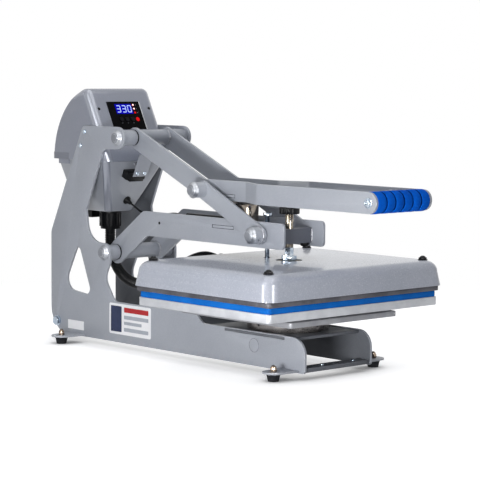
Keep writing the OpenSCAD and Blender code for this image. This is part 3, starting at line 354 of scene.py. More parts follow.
class Effects:
    """The shared node groups, each built once."""

    def __init__(self) -> None:
        """Start with no group."""
        self._made: dict[Effect, Tree] = {}

    def get(self, effect: Effect) -> Tree:
        """Give an effect's node group, built at its first use.

        Args:
            effect: The effect.

        Returns:
            Its node group.
        """
        if effect not in self._made:
            makers = {
                Effect.PEEL: self._peel,
                Effect.CLOUD: self._cloud,
                Effect.FLECK: self._fleck,
                Effect.LINES: self._lines,
                Effect.DUST: self._dust,
                Effect.PORES: self._pores,
            }
            self._made[effect] = makers[effect](effect.value)
        return self._made[effect]

    @staticmethod
    def _open(name: str, inputs: dict[str, float], outputs: Sequence[str]) -> tuple[Graph, object, object]:
        """Start a group with a Vector input, number inputs and number outputs.

        Args:
            name: The group's name.
            inputs: Its number inputs with their default values.
            outputs: Its number outputs.

        Returns:
            The group's graph, its input node and its output node.
        """
        tree = bpy.data.node_groups.new(name, "ShaderNodeTree")
        tree.interface.new_socket("Vector", in_out="INPUT", socket_type="NodeSocketVector")
        for label, value in inputs.items():
            socket = tree.interface.new_socket(label, in_out="INPUT", socket_type="NodeSocketFloat")
            socket.default_value = value
        for label in outputs:
            tree.interface.new_socket(label, in_out="OUTPUT", socket_type="NodeSocketFloat")
        graph = Graph(tree)
        return graph, graph.add("NodeGroupInput"), graph.add("NodeGroupOutput")

    @staticmethod
    def _texture(graph: Graph, given: Node, kind: str, **values: object) -> Node:
        """A texture at the group's own coordinates and scale."""
        return graph.add(kind, Vector=given.outputs["Vector"], Scale=given.outputs["Scale"], **values)

    def _peel(self, name: str) -> Tree:
        """Small round waves of a sprayed or baked coat."""
        graph, given, out = self._open(name, {"Scale": 800.0}, ("Height", "Mask"))
        wave = self._texture(graph, given, "ShaderNodeTexNoise", Detail=2.0, Roughness=0.45).outputs["Fac"]
        graph.feed(wave, out.inputs["Height"])
        graph.feed(graph.spread(wave, 0.32, 0.68), out.inputs["Mask"])
        return graph.tree

    def _cloud(self, name: str) -> Tree:
        """Broad soft patches of a slightly different tone."""
        graph, given, out = self._open(name, {"Scale": 10.0}, ("Mask",))
        wave = self._texture(graph, given, "ShaderNodeTexNoise", Detail=5.0, Roughness=0.6).outputs["Fac"]
        graph.feed(graph.spread(wave, 0.3, 0.7), out.inputs["Mask"])
        return graph.tree

    def _fleck(self, name: str) -> Tree:
        """Separate small flecks, each with its own strength."""
        graph, given, out = self._open(name, {"Scale": 600.0, "Share": 0.5}, ("Mask",))
        cell = self._texture(graph, given, "ShaderNodeTexVoronoi", feature="F1")
        split = graph.add("ShaderNodeSeparateColor", Color=cell.outputs["Color"])
        least = graph.maths("SUBTRACT", 1.0, given.outputs["Share"])
        lit = graph.spread(split.outputs[0], least, 1.0)
        core = graph.spread(cell.outputs["Distance"], 0.62, 0.18)
        graph.feed(graph.maths("MULTIPLY", lit, core), out.inputs["Mask"])
        return graph.tree

    def _lines(self, name: str) -> Tree:
        """Fine parallel lines of rolled, drawn or turned metal."""
        graph, given, out = self._open(name, {"Across": 900.0, "Along": 12.0}, ("Height", "Mask"))
        split = graph.add("ShaderNodeSeparateXYZ", Vector=given.outputs["Vector"])
        join = graph.add("ShaderNodeCombineXYZ")
        for axis, factor in (("X", "Along"), ("Y", "Across"), ("Z", "Across")):
            scaled = graph.maths("MULTIPLY", split.outputs[axis], given.outputs[factor])
            graph.feed(scaled, join.inputs[axis])
        place = join.outputs[0]
        noise = graph.add("ShaderNodeTexNoise", Vector=place, Scale=1.0, Detail=3.0, Roughness=0.6)
        wave = noise.outputs["Fac"]
        graph.feed(wave, out.inputs["Height"])
        graph.feed(graph.spread(wave, 0.3, 0.7, "LINEAR"), out.inputs["Mask"])
        return graph.tree

    def _dust(self, name: str) -> Tree:
        """A thin film of dust on what faces up, thicker in patches."""
        graph, given, out = self._open(name, {"Scale": 25.0}, ("Mask",))
        shape = graph.add("ShaderNodeNewGeometry")
        split = graph.add("ShaderNodeSeparateXYZ", Vector=shape.outputs["Normal"])
        upward = graph.spread(split.outputs["Z"], 0.55, 1.0)
        wave = self._texture(graph, given, "ShaderNodeTexNoise", Detail=6.0, Roughness=0.65).outputs["Fac"]
        graph.feed(graph.maths("MULTIPLY", upward, wave), out.inputs["Mask"])
        return graph.tree

    def _pores(self, name: str) -> Tree:
        """Small pits of foam and moulded rubber."""
        graph, given, out = self._open(name, {"Scale": 700.0}, ("Height", "Mask"))
        cell = self._texture(graph, given, "ShaderNodeTexVoronoi", feature="F1")
        pits = graph.spread(cell.outputs["Distance"], 0.1, 0.6)
        for label in ("Height", "Mask"):
            graph.feed(pits, out.inputs[label])
        return graph.tree


class Run(Enum):
    """Direction of a metal's drawn lines, as the turn that lays them along it."""

    ALONG_X = (0.0, 0.0, 0.0)
    ALONG_Y = (0.0, 0.0, math.pi / 2)
    ALONG_Z = (0.0, math.pi / 2, 0.0)


@dataclass(frozen=True)
class Finish:
    """One finish: its colours, its gloss and the effects that break it up."""

    name: str
    slot: str
    colour: Colour
    deep: Colour
    roughness: tuple[float, float] = (0.4, 0.5)
    metallic: float = 0.0
    coat: float = 0.0
    coat_roughness: float = 0.12
    specular: float = 0.4
    cloud_scale: float = 9.0
    grain: Effect = Effect.PEEL
    grain_scale: float = 900.0
    grain_depth: float = 0.03
    fleck: Colour | None = None
    fleck_scale: float = 700.0
    fleck_share: float = 0.5
    fleck_amount: float = 0.5
    lines: Run | None = None
    lines_depth: float = 0.01
    dust: float = 0.0
    glow: Colour | None = None
    glow_strength: float = 0.0


DUST_TONE = rgb(196, 194, 190)


class PaintShop:
    """Makes each finish's material once and puts it on pieces."""

    def __init__(self) -> None:
        """Start with the shared effects and no material."""
        self.effects = Effects()
        self._made: dict[str, bpy.types.Material] = {}

    def _effect(self, graph: Graph, effect: Effect, place: Socket, **values: float) -> Node:
        """An effect's group in a material, reading a place, with its own values."""
        return graph.add("ShaderNodeGroup", node_tree=self.effects.get(effect), Vector=place, **values)

    @staticmethod
    def _blend(graph: Graph, low: object, high: object, share: Socket) -> Socket:
        """Mix two colours.

        Args:
            graph: The material's graph.
            low: The colour, or an output, where the mask is 0.
            high: The colour, or an output, where the mask is 1.
            share: The mask.

        Returns:
            The mixed colour.
        """
        mix = graph.add("ShaderNodeMix", data_type="RGBA")
        for value, place in ((share, 0), (low, 6), (high, 7)):
            graph.feed(value, mix.inputs[place])
        return mix.outputs[2]

    def material(self, finish: Finish) -> bpy.types.Material:
        """Give a finish's material.

        Args:
            finish: The finish.

        Returns:
            Its node material, made at its first use.
        """
        if finish.name in self._made:
            return self._made[finish.name]
        material = bpy.data.materials.new(finish.name)
        material.use_nodes = True
        material.diffuse_color = finish.colour
        graph = Graph(material.node_tree)
        place = graph.add("ShaderNodeTexCoord").outputs["Object"]
        cloud = self._effect(graph, Effect.CLOUD, place, Scale=finish.cloud_scale)
        colour = self._blend(graph, finish.deep, finish.colour, cloud.outputs["Mask"])
        grain = self._effect(graph, finish.grain, place, Scale=finish.grain_scale)
        if finish.fleck is not None:
            size, count = finish.fleck_scale, finish.fleck_share
            fleck = self._effect(graph, Effect.FLECK, place, Scale=size, Share=count)
            share = graph.maths("MULTIPLY", fleck.outputs["Mask"], finish.fleck_amount)
            colour = self._blend(graph, colour, finish.fleck, share)
        uneven = grain.outputs["Mask"]
        normal = graph.add(
            "ShaderNodeBump", Strength=1.0, Distance=mm(finish.grain_depth), Height=grain.outputs["Height"]
        )
        if finish.lines is not None:
            turn = graph.add("ShaderNodeMapping", Rotation=finish.lines.value, Vector=place)
            drawn = self._effect(graph, Effect.LINES, turn.outputs[0])
            normal = graph.add(
                "ShaderNodeBump", Strength=1.0, Distance=mm(finish.lines_depth),
                Height=drawn.outputs["Height"], Normal=normal.outputs[0],
            )
            uneven = drawn.outputs["Mask"]
        if finish.dust:
            dust = self._effect(graph, Effect.DUST, place)
            share = graph.maths("MULTIPLY", dust.outputs["Mask"], finish.dust)
            colour = self._blend(graph, colour, DUST_TONE, share)
        smoothest, roughest = finish.roughness
        rough = graph.add("ShaderNodeMapRange", Value=uneven, **{"To Min": smoothest, "To Max": roughest})
        given = {
            "Base Color": colour, "Normal": normal.outputs[0], "Roughness": rough.outputs[0],
            "Metallic": finish.metallic, "Specular IOR Level": finish.specular,
            "Coat Weight": finish.coat, "Coat Roughness": finish.coat_roughness,
        }
        if finish.glow is not None:
            given |= {"Emission Color": finish.glow, "Emission Strength": finish.glow_strength}
        for label, value in given.items():
            graph.feed(value, graph.tree.nodes["Principled BSDF"].inputs[label])
        self._made[finish.name] = material
        return material

    def dress(self, piece: Piece, *finishes: Finish) -> None:
        """Put finishes on a piece, one for each of its slots.

        Args:
            piece: The piece.
            *finishes: Its finishes, the main one first.
        """
        slots = piece.data.materials
        while len(slots) > len(finishes):
            slots.pop()
        for place, finish in enumerate(finishes):
            if place < len(slots):
                slots[place] = self.material(finish)
            else:
                slots.append(self.material(finish))

    def repaint(self, node: str, finish: Finish) -> None:
        """Put a finish on a CAD node that stays as it is."""
        piece = NODES[node]
        for place in piece.material_slots:
            place.material = self.material(finish)


FRAME_COAT = Finish(
    "frame_powder_coat", "frame_paint", rgb(164, 168, 176), rgb(158, 162, 171), (0.34, 0.48), 0.0, 0.15,
    0.2, 0.35, grain_scale=950.0, grain_depth=0.05, fleck=rgb(190, 192, 197), fleck_scale=620.0,
    fleck_amount=0.35, dust=0.05,
)
# Lighter coat for the rounded edges of the frame plates, arms, links and handle plates, and for the panel's
# edge strip: painted highlight.
EDGE_HIGHLIGHT_COAT = Finish(
    "frame_painted_edge_highlight", "frame_paint", rgb(216, 217, 221), rgb(200, 202, 207), (0.2, 0.34), 0.2, 0.4,
    0.1, 0.5, cloud_scale=40.0, grain_scale=950.0, grain_depth=0.03,
)
# Darker coat for the deck, the front tie strip and the side plates' inner faces: painted shade.
DECK_SHADE_COAT = Finish(
    "deck_painted_shade_coat", "frame_paint", rgb(104, 107, 113), rgb(97, 100, 106), (0.4, 0.52), 0.0, 0.05,
    0.3, 0.15, grain_scale=950.0, grain_depth=0.05, fleck=rgb(150, 153, 159), fleck_scale=620.0,
    fleck_amount=0.3, dust=0.05,
)
BOX_COAT = Finish(
    "box_powder_coat", "box_paint", rgb(131, 135, 148), rgb(125, 130, 143), (0.3, 0.42), 0.0, 0.8, 0.08,
    0.35, grain_scale=950.0, grain_depth=0.04, fleck=rgb(158, 162, 172), fleck_scale=620.0,
    fleck_amount=0.3,
)
# Lighter copy of the box coat for the hopper: painted light.
HOPPER_LIT_COAT = replace(
    BOX_COAT, name="hopper_painted_light_coat", colour=rgb(154, 158, 166), deep=rgb(147, 151, 160),
    fleck=rgb(178, 181, 188),
)
# Brighter, glossier coat for the rounded edges of the control cover and the hopper's left front corner:
# painted highlight.
BOX_EDGE_HIGHLIGHT = Finish(
    "box_painted_edge_highlight", "box_paint", rgb(150, 154, 165), rgb(143, 147, 159), (0.16, 0.26), 0.25, 0.9,
    0.06, 0.5, grain_scale=950.0, grain_depth=0.02,
)
# Darker coat on the cover's lip band: painted shade.
LIP_SHADE_COAT = Finish(
    "box_lip_painted_shade", "box_paint", rgb(124, 127, 137), rgb(117, 120, 131), (0.34, 0.46), 0.0, 0.3, 0.15,
    0.25, grain_scale=950.0, grain_depth=0.04, fleck=rgb(146, 149, 158), fleck_scale=620.0,
    fleck_amount=0.3,
)
# Darker coat for the cross bar, partly its own paint and partly painted shade.
BAR_COAT_AND_SHADE = Finish(
    "bar_dark_coat_and_shade", "dark_steel", rgb(112, 115, 124), rgb(104, 107, 116), (0.38, 0.5), 0.0, 0.1, 0.3,
    0.3, grain_scale=900.0, grain_depth=0.05, fleck=rgb(128, 132, 141), fleck_scale=620.0,
    fleck_amount=0.3,
)
COVER_ENAMEL = Finish(
    "cover_speckled_enamel", "cover_paint", rgb(165, 169, 181), rgb(159, 164, 176), (0.26, 0.36), 0.0,
    0.5, 0.07, 0.4, grain_scale=520.0, grain_depth=0.03, fleck=rgb(192, 195, 202), fleck_scale=400.0,
    fleck_share=0.55, fleck_amount=0.8,
)
PLATEN_CAST = Finish(
    "platen_milled_aluminium", "platen_aluminium", rgb(196, 198, 202), rgb(180, 182, 187), (0.4, 0.56),
    0.45, specular=0.3, cloud_scale=22.0, grain_scale=420.0, grain_depth=0.05, lines=Run.ALONG_X,
    lines_depth=0.02,
)
HEATER_CAST = Finish(
    "heater_baked_aluminium", "heater_aluminium", rgb(98, 98, 104), rgb(74, 74, 80), (0.36, 0.52), 0.4,
    specular=0.2, cloud_scale=22.0, grain_scale=500.0, grain_depth=0.04, lines=Run.ALONG_X,
    lines_depth=0.015,
)
STEEL = Finish(
    "machined_dark_steel", "dark_steel", rgb(118, 115, 114), rgb(86, 84, 85), (0.2, 0.42), 0.9,
    cloud_scale=30.0, grain_scale=600.0, grain_depth=0.03, lines=Run.ALONG_X, lines_depth=0.01,
)
BRACKET_STEEL = Finish(
    "bracket_rolled_aluminium", "platen_aluminium", rgb(152, 153, 157), rgb(136, 137, 142),
    (0.36, 0.52), 0.45, specular=0.3, cloud_scale=24.0, grain_scale=500.0, grain_depth=0.04,
    lines=Run.ALONG_X, lines_depth=0.015,
)
NICKEL = Finish(
    "magnet_nickel_plate", "nickel", rgb(176, 168, 158), rgb(132, 122, 112), (0.08, 0.2), 1.0,
    cloud_scale=24.0, grain_scale=500.0, grain_depth=0.01, lines=Run.ALONG_Z, lines_depth=0.004,
)
ZINC = Finish(
    "bright_zinc_plate", "zinc", rgb(194, 203, 212), rgb(146, 160, 176), (0.1, 0.26), 1.0,
    cloud_scale=70.0, grain_scale=500.0, grain_depth=0.015,
)
CAP_COAT = Finish(
    "cap_turned_steel", "zinc", rgb(182, 185, 190), rgb(138, 141, 147), (0.28, 0.4), 0.9, specular=0.5,
    cloud_scale=50.0, grain_scale=700.0, grain_depth=0.02,
)
CAP_FACE = Finish(
    "cap_ground_face", "zinc", rgb(138, 141, 147), rgb(126, 129, 136), (0.36, 0.5), 0.3, specular=0.2,
    cloud_scale=60.0, grain_scale=700.0, grain_depth=0.03, lines=Run.ALONG_Y, lines_depth=0.01,
)
STRAW_ZINC = Finish(
    "straw_zinc_plate", "zinc", rgb(180, 172, 158), rgb(104, 95, 82), (0.1, 0.24), 1.0,
    cloud_scale=90.0, grain_scale=500.0, grain_depth=0.015,
)
BRASS = Finish(
    "dome_nut_warm_chrome", "brass", rgb(172, 156, 140), rgb(92, 78, 68), (0.08, 0.2), 1.0,
    cloud_scale=90.0, grain_scale=600.0, grain_depth=0.01,
)
SILICONE = Finish(
    "pad_blue_silicone", "pad_silicone", rgb(10, 110, 202), rgb(6, 98, 186), (0.5, 0.66), 0.0,
    specular=0.1, cloud_scale=16.0, grain=Effect.PORES, grain_scale=900.0, grain_depth=0.08,
    fleck=rgb(34, 122, 206), fleck_scale=800.0, fleck_amount=0.4,
)
FOAM = Finish(
    "grip_blue_foam", "grip_foam", rgb(2, 98, 216), rgb(1, 86, 198), (0.7, 0.86), 0.0, specular=0.04,
    cloud_scale=30.0, grain=Effect.PORES, grain_scale=760.0, grain_depth=0.16, fleck=rgb(26, 106, 204),
    fleck_scale=700.0, fleck_amount=0.45,
)
# Darker foam for the groove bottoms: painted shade.
GROOVE_SHADE = replace(
    FOAM, name="grip_groove_painted_shade", colour=rgb(2, 46, 116), deep=rgb(1, 36, 98), roughness=(0.75, 0.9),
    specular=0.02, fleck=None, fleck_amount=0.5,
)
RUBBER = Finish(
    "foot_black_rubber", "black_rubber", rgb(40, 41, 45), rgb(30, 31, 34), (0.55, 0.75), 0.0,
    specular=0.12, cloud_scale=40.0, grain=Effect.PORES, grain_scale=900.0, grain_depth=0.05, dust=0.08,
)
HOSE_SKIN = Finish(
    "hose_black_nylon", "black_rubber", rgb(20, 21, 24), rgb(14, 15, 17), (0.24, 0.36), 0.0,
    specular=0.2, cloud_scale=30.0, grain_scale=800.0, grain_depth=0.02,
)
PLASTIC = Finish(
    "moulded_black_plastic", "black_plastic", rgb(18, 19, 21), rgb(12, 13, 15), (0.26, 0.4), 0.0,
    specular=0.14, cloud_scale=30.0, grain_scale=1000.0, grain_depth=0.03,
)
BLACK_OXIDE = Finish(
    "black_oxide_screw", "black_plastic", rgb(30, 30, 33), rgb(16, 16, 18), (0.22, 0.36), 0.3,
    specular=0.2, cloud_scale=60.0, grain_scale=700.0, grain_depth=0.02,
)
PANEL = Finish(
    "panel_black_foil", "panel_black", rgb(10, 10, 12), rgb(7, 7, 9), (0.2, 0.3), 0.0, specular=0.025,
    cloud_scale=20.0, grain_scale=1600.0, grain_depth=0.01,
)
KEY = Finish(
    "panel_key_foil", "panel_black", rgb(24, 24, 30), rgb(18, 18, 23), (0.3, 0.4), 0.0, specular=0.05,
    cloud_scale=60.0, grain_scale=1600.0, grain_depth=0.01,
)
MARKS = Finish(
    "panel_grey_marks", "panel_black", rgb(120, 122, 128), rgb(104, 106, 112), (0.4, 0.5), 0.0,
    specular=0.2, cloud_scale=200.0, grain_scale=1600.0, grain_depth=0.005,
)
WINDOW = Finish(
    "display_blue_glow", "display_blue", rgb(2, 2, 26), rgb(1, 1, 20), (0.12, 0.2), 0.0, specular=0.02,
    cloud_scale=60.0, grain_scale=1200.0, grain_depth=0.004, glow=rgb(4, 8, 240), glow_strength=0.5,
)
DIGITS = Finish(
    "display_lit_digits", "display_blue", rgb(60, 74, 130), rgb(50, 64, 120), (0.3, 0.4), 0.0,
    specular=0.1, cloud_scale=120.0, grain_scale=1200.0, grain_depth=0.004, glow=rgb(196, 214, 255),
    glow_strength=1.0,
)
RED_LAMP = Finish(
    "lamp_red_lens", "indicator_red", rgb(170, 10, 14), rgb(140, 6, 10), (0.18, 0.3), 0.0,
    specular=0.05, cloud_scale=200.0, grain_scale=1200.0, grain_depth=0.004, glow=rgb(255, 22, 28),
    glow_strength=0.55,
)
LIT_CORE = Finish(
    "lamp_lit_core", "indicator_red", rgb(255, 226, 220), rgb(255, 206, 200), (0.3, 0.4), 0.0,
    specular=0.1, cloud_scale=200.0, grain_scale=1200.0, grain_depth=0.004, glow=rgb(255, 220, 214),
    glow_strength=0.9,
)
BOARD = Finish(
    "circuit_board_green", "board_green", rgb(40, 106, 66), rgb(28, 84, 52), (0.35, 0.5), 0.0,
    cloud_scale=80.0, grain_scale=900.0, grain_depth=0.02, fleck=rgb(150, 156, 120), fleck_scale=260.0,
    fleck_share=0.2,
)
FIBRE = Finish(
    "mineral_fibre", "fibre", rgb(226, 220, 204), rgb(206, 198, 180), (0.8, 0.95), 0.0, specular=0.1,
    cloud_scale=40.0, grain_scale=500.0, grain_depth=0.3,
)
PLATE_WHITE = Finish(
    "plate_white_foil", "box_paint", rgb(250, 250, 252), rgb(244, 245, 247), (0.28, 0.4), 0.0,
    specular=0.3, cloud_scale=30.0, grain_scale=1200.0, grain_depth=0.008,
)
PLATE_SLATE = replace(
    PLATE_WHITE, name="plate_slate_block", colour=rgb(44, 54, 88), deep=rgb(36, 46, 78), specular=0.2
)
PLATE_RED = replace(
    PLATE_WHITE, name="plate_red_block", colour=rgb(190, 44, 46), deep=rgb(176, 36, 40), specular=0.2
)
PLATE_GREY = replace(
    PLATE_WHITE, name="plate_grey_block", colour=rgb(178, 183, 192), deep=rgb(168, 173, 183), specular=0.3
)
WELD = Finish(
    "weld_bead_coat", "frame_paint", rgb(172, 174, 180), rgb(136, 138, 144), (0.2, 0.36), 0.2, 0.1, 0.3,
    0.5, cloud_scale=120.0, grain_scale=500.0, grain_depth=0.12,
)


# Modelling

SHARP_EDGE = 34.0  # least angle of an edge that is rounded, in degrees
FLAT_EDGE = 0.4  # greatest angle of an edge that is dissolved, in degrees
FACING = 0.9  # least part of a face's normal along an axis for the face to look that way


class Part(Enum):
    """What a selection in edit mode is made of."""

    VERTS = "VERT"
    EDGES = "EDGE"
    FACES = "FACE"


def looks_up(face: object) -> bool:
    """Whether a face looks up."""
    return face.normal.z > FACING


def looks_down(face: object) -> bool:
    """Whether a face looks down."""
    return face.normal.z < -FACING


class Bench:
    """Hand tools: each works on one mesh object with Blender's own operators."""

    @staticmethod
    def put_away() -> None:
        """Leave edit mode and deselect everything."""
        if bpy.context.mode != "OBJECT":
            bpy.ops.object.mode_set(mode="OBJECT")
        bpy.ops.object.select_all(action="DESELECT")

    @staticmethod
    def take(piece: Piece) -> None:
        """Select one piece alone and make it active."""
        Bench.put_away()
        piece.select_set(True)
        bpy.context.view_layer.objects.active = piece

    @staticmethod
    @contextmanager
    def editing(piece: Piece) -> Iterator[None]:
        """Work on a piece in edit mode, with all of it selected at first."""
        Bench.take(piece)
        bpy.ops.object.mode_set(mode="EDIT")
        bpy.ops.mesh.select_mode(type=Part.VERTS.value)
        bpy.ops.mesh.select_all(action="SELECT")
        yield
        bpy.ops.object.mode_set(mode="OBJECT")

    @staticmethod
    def pick(piece: Piece, part: Part, test: Callable[[object], bool]) -> None:
        """Select the vertices, edges or faces that pass a test, in edit mode.

        Args:
            piece: The piece that is being edited.
            part: What to select.
            test: Whether one vertex, edge or face is wanted.
        """
        bpy.ops.mesh.select_mode(type=part.value)
        bpy.ops.mesh.select_all(action="DESELECT")
        form = bmesh.from_edit_mesh(piece.data)
        form.normal_update()
        found = {Part.VERTS: form.verts, Part.EDGES: form.edges, Part.FACES: form.faces}[part]
        for element in found:
            element.select_set(bool(test(element)))
        form.select_flush_mode()
        bmesh.update_edit_mesh(piece.data)

    @staticmethod
    def extrude(move: Sequence[float]) -> None:
        """Extrude what is selected by a move, in metres, in edit mode."""
        bpy.ops.mesh.extrude_region_move(TRANSFORM_OT_translate={"value": move})

    @staticmethod
    def name(piece: Piece, label: str) -> Piece:
        """Name a piece and its mesh alike."""
        piece.name = label
        piece.data.name = label
        return piece

    @staticmethod
    def modify(piece: Piece, kind: str, **values: object) -> None:
        """Add a modifier and apply it.

        Args:
            piece: The piece.
            kind: The modifier's Blender type.
            **values: Its settings.
        """
        Bench.take(piece)
        modifier = piece.modifiers.new(kind.lower(), kind)
        for label, value in values.items():
            setattr(modifier, label, value)
        bpy.ops.object.modifier_apply(modifier=modifier.name)

    @staticmethod
    def settle(piece: Piece, place: Matrix | None = None) -> None:
        """Put a piece in its place and leave its object at the origin, unturned and unscaled."""
        Bench.take(piece)
        if place is not None:
            piece.matrix_world = place @ piece.matrix_world
        bpy.context.view_layer.update()
        bpy.ops.object.transform_apply(location=True, rotation=True, scale=True)

    @staticmethod
    def give_slots(piece: Piece, count: int) -> None:
        """Give a piece empty material slots, so that its faces can be told apart."""
        Bench.take(piece)
        while len(piece.material_slots) < count:
            bpy.ops.object.material_slot_add()

    @staticmethod
    def face_out(piece: Piece) -> None:
        """Merge doubles and turn all faces outwards."""
        with Bench.editing(piece):
            bpy.ops.mesh.remove_doubles(threshold=1e-6)
            bpy.ops.mesh.normals_make_consistent(inside=False)

    @staticmethod
    def smooth(piece: Piece, degrees: float = 32.0) -> None:
        """Shade smooth, with edges sharper than an angle left sharp."""
        Bench.take(piece)
        bpy.ops.object.shade_smooth_by_angle(angle=math.radians(degrees))

    @staticmethod
    def plate(label: str, width: float, depth: float, corner: float, steps: int = 8) -> Piece:
        """Make a flat plate with round corners, centred on the origin.

        Args:
            label: The piece's name.
            width: Its size along X, in millimetres.
            depth: Its size along Y, in millimetres.
            corner: Its corner radius, in millimetres.
            steps: Segments of a corner.

        Returns:
            A single face with round corners.
        """
        Bench.put_away()
        bpy.ops.mesh.primitive_plane_add(size=1.0)
        piece = Bench.name(bpy.context.object, label)
        with Bench.editing(piece):
            bpy.ops.transform.resize(value=(mm(width), mm(depth), 1.0), center_override=(0.0, 0.0, 0.0))
            bpy.ops.mesh.bevel(offset=mm(corner), segments=steps, affect="VERTICES")
        return piece

    @staticmethod
    def slab(label: str, width: float, depth: float, corner: float, height: float, steps: int) -> Piece:
        """Make a plate from plate() and give it a thickness upwards.

        Args:
            label: The piece's name.
            width: Its size along X, in millimetres.
            depth: Its size along Y, in millimetres.
            corner: Its corner radius, in millimetres.
            height: Its thickness, in millimetres.
            steps: Segments of a corner.

        Returns:
            The closed slab.
        """
        piece = Bench.plate(label, width, depth, corner, steps)
        with Bench.editing(piece):
            Bench.extrude((0.0, 0.0, mm(height)))
        Bench.face_out(piece)
        return piece

    @staticmethod
    def raise_levels(piece: Piece, levels: Sequence[tuple[float, float]]) -> None:
        """Extrude a flat plate upwards through levels of inset and height, and close it.

        Args:
            piece: A plate from plate(), at height 0.
            levels: Pairs of inset from the plate's own outline and height, in millimetres.
        """
        size = piece.dimensions.copy()
        inset_now, height_now = 0.0, 0.0
        with Bench.editing(piece):
            for inset, height in levels:
                Bench.extrude((0.0, 0.0, mm(height - height_now)))
                ratio = [(size[k] - 2.0 * mm(inset)) / (size[k] - 2.0 * mm(inset_now)) for k in (0, 1)]
                bpy.ops.transform.resize(value=(*ratio, 1.0), center_override=(0.0, 0.0, mm(height)))
                inset_now, height_now = inset, height
        Bench.face_out(piece)

    @staticmethod
    def chain(label: str, points: Sequence[tuple[float, float, float]]) -> Piece:
        """Draw a line of edges by extruding one vertex.

        Args:
            label: The piece's name.
            points: The line's points, in millimetres.

        Returns:
            The line, as a mesh of edges.
        """
        Bench.put_away()
        bpy.ops.mesh.primitive_plane_add(size=0.0002)
        piece = Bench.name(bpy.context.object, label)
        with Bench.editing(piece):
            bpy.ops.mesh.merge(type="CENTER")
            last = Vector((0.0, 0.0, 0.0))
            for index, point in enumerate(points):
                move = (Vector(point) - last) / 1000.0
                if index == 0:
                    bpy.ops.transform.translate(value=move)
                else:
                    Bench.extrude(move)
                last = Vector(point)
        return piece

    @staticmethod
    def lathe(label: str, profile: Sequence[tuple[float, float]], steps: int = 48) -> Piece:
        """Spin a profile about the Z axis.

        Args:
            label: The piece's name.
            profile: Pairs of radius and height, in millimetres, from one end to the other.
            steps: Segments of a full turn.

        Returns:
            The turned piece, closed and facing outwards.
        """
        piece = Bench.chain(label, [(r, 0.0, z) for r, z in profile])
        with Bench.editing(piece):
            bpy.ops.mesh.spin(
                steps=steps, angle=2.0 * math.pi, center=(0.0, 0.0, 0.0), axis=(0.0, 0.0, 1.0)
            )
            bpy.ops.mesh.select_all(action="SELECT")
            bpy.ops.mesh.remove_doubles(threshold=2e-6)
            bpy.ops.mesh.normals_make_consistent(inside=False)
        return piece

    @staticmethod
    def block(label: str, low: Vector, high: Vector) -> Piece:
        """Make a block between two corners of the frame."""
        Bench.put_away()
        bpy.ops.mesh.primitive_cube_add(size=1.0)
        piece = Bench.name(bpy.context.object, label)
        piece.scale = high - low
        piece.location = (low + high) / 2.0
        Bench.settle(piece)
        return piece

    @staticmethod
    def discard(piece: Piece) -> None:
        """Throw a piece and its mesh away."""
        mesh = piece.data
        bpy.data.objects.remove(piece)
        bpy.data.meshes.remove(mesh)

    @staticmethod
    def cut(piece: Piece, *cutters: Piece) -> None:
        """Cut pieces out of a piece, and throw the cutters away."""
        for cutter in cutters:
            Bench.modify(piece, "BOOLEAN", object=cutter, operation="DIFFERENCE", solver="EXACT")
            Bench.discard(cutter)

    @staticmethod
    def drill(radius: float, length: float, place: Matrix) -> Piece:
        """Make a round cutter along the Z axis of a place, centred on it."""
        Bench.put_away()
        bpy.ops.mesh.primitive_cylinder_add(vertices=48, radius=mm(radius), depth=mm(length))
        cutter = bpy.context.object
        Bench.settle(cutter, place)
        return cutter

    @staticmethod
    def join(label: str, pieces: Sequence[Piece]) -> Piece:
        """Join pieces into one.

        Args:
            label: The joined piece's name.
            pieces: The pieces, the first of which stays.

        Returns:
            The joined piece.
        """
        Bench.put_away()
        for piece in pieces:
            piece.select_set(True)
        bpy.context.view_layer.objects.active = pieces[0]
        if len(pieces) > 1:
            bpy.ops.object.join()
        return Bench.name(pieces[0], label)

    @staticmethod
    def copy(piece: Piece, place: Matrix) -> Piece:
        """Copy a piece with its own mesh to another place."""
        twin = piece.copy()
        twin.data = piece.data.copy()
        bpy.context.scene.collection.objects.link(twin)
        Bench.settle(twin, place)
        return twin

    @staticmethod
    def repeat(label: str, source: Piece, places: Sequence[Matrix]) -> Piece:
        """Set copies of a piece at places, join them and throw the piece itself away.

        Args:
            label: The joined piece's name.
            source: The piece to copy.
            places: A place for each copy.

        Returns:
            The joined copies.
        """
        made = [Bench.copy(source, place) for place in places]
        Bench.discard(source)
        return Bench.join(label, made)

    @staticmethod
    def softened(label: str, node: str, width: float, steps: int = 2, highlight_edges: bool = False) -> Piece:
        """Copy a CAD node and round its sharp edges.

        Args:
            label: The new piece's name.
            node: The node.
            width: Width of the rounding, in millimetres.
            steps: Segments of the rounding.
            highlight_edges: Whether the rounded edges take the piece's second finish, a painted highlight.

        Returns:
            The rounded copy.
        """
        piece = bpy.data.objects.new(label, NODES[node].data.copy())
        piece.data.name = label
        bpy.context.scene.collection.objects.link(piece)
        Bench.take(piece)
        if highlight_edges:
            bpy.ops.object.material_slot_add()
        bpy.ops.mesh.customdata_custom_splitnormals_clear()
        with Bench.editing(piece):
            bpy.ops.mesh.remove_doubles(threshold=2e-6)
            bpy.ops.mesh.dissolve_limited(angle_limit=math.radians(FLAT_EDGE))
        # With the flag set, the rounded edges take the second finish, a painted highlight.
        Bench.modify(
            piece, "BEVEL", width=mm(width), segments=steps, limit_method="ANGLE",
            angle_limit=math.radians(SHARP_EDGE), use_clamp_overlap=True, miter_outer="MITER_ARC",
            material=1 if highlight_edges else -1,
        )
        Bench.smooth(piece)
        return piece


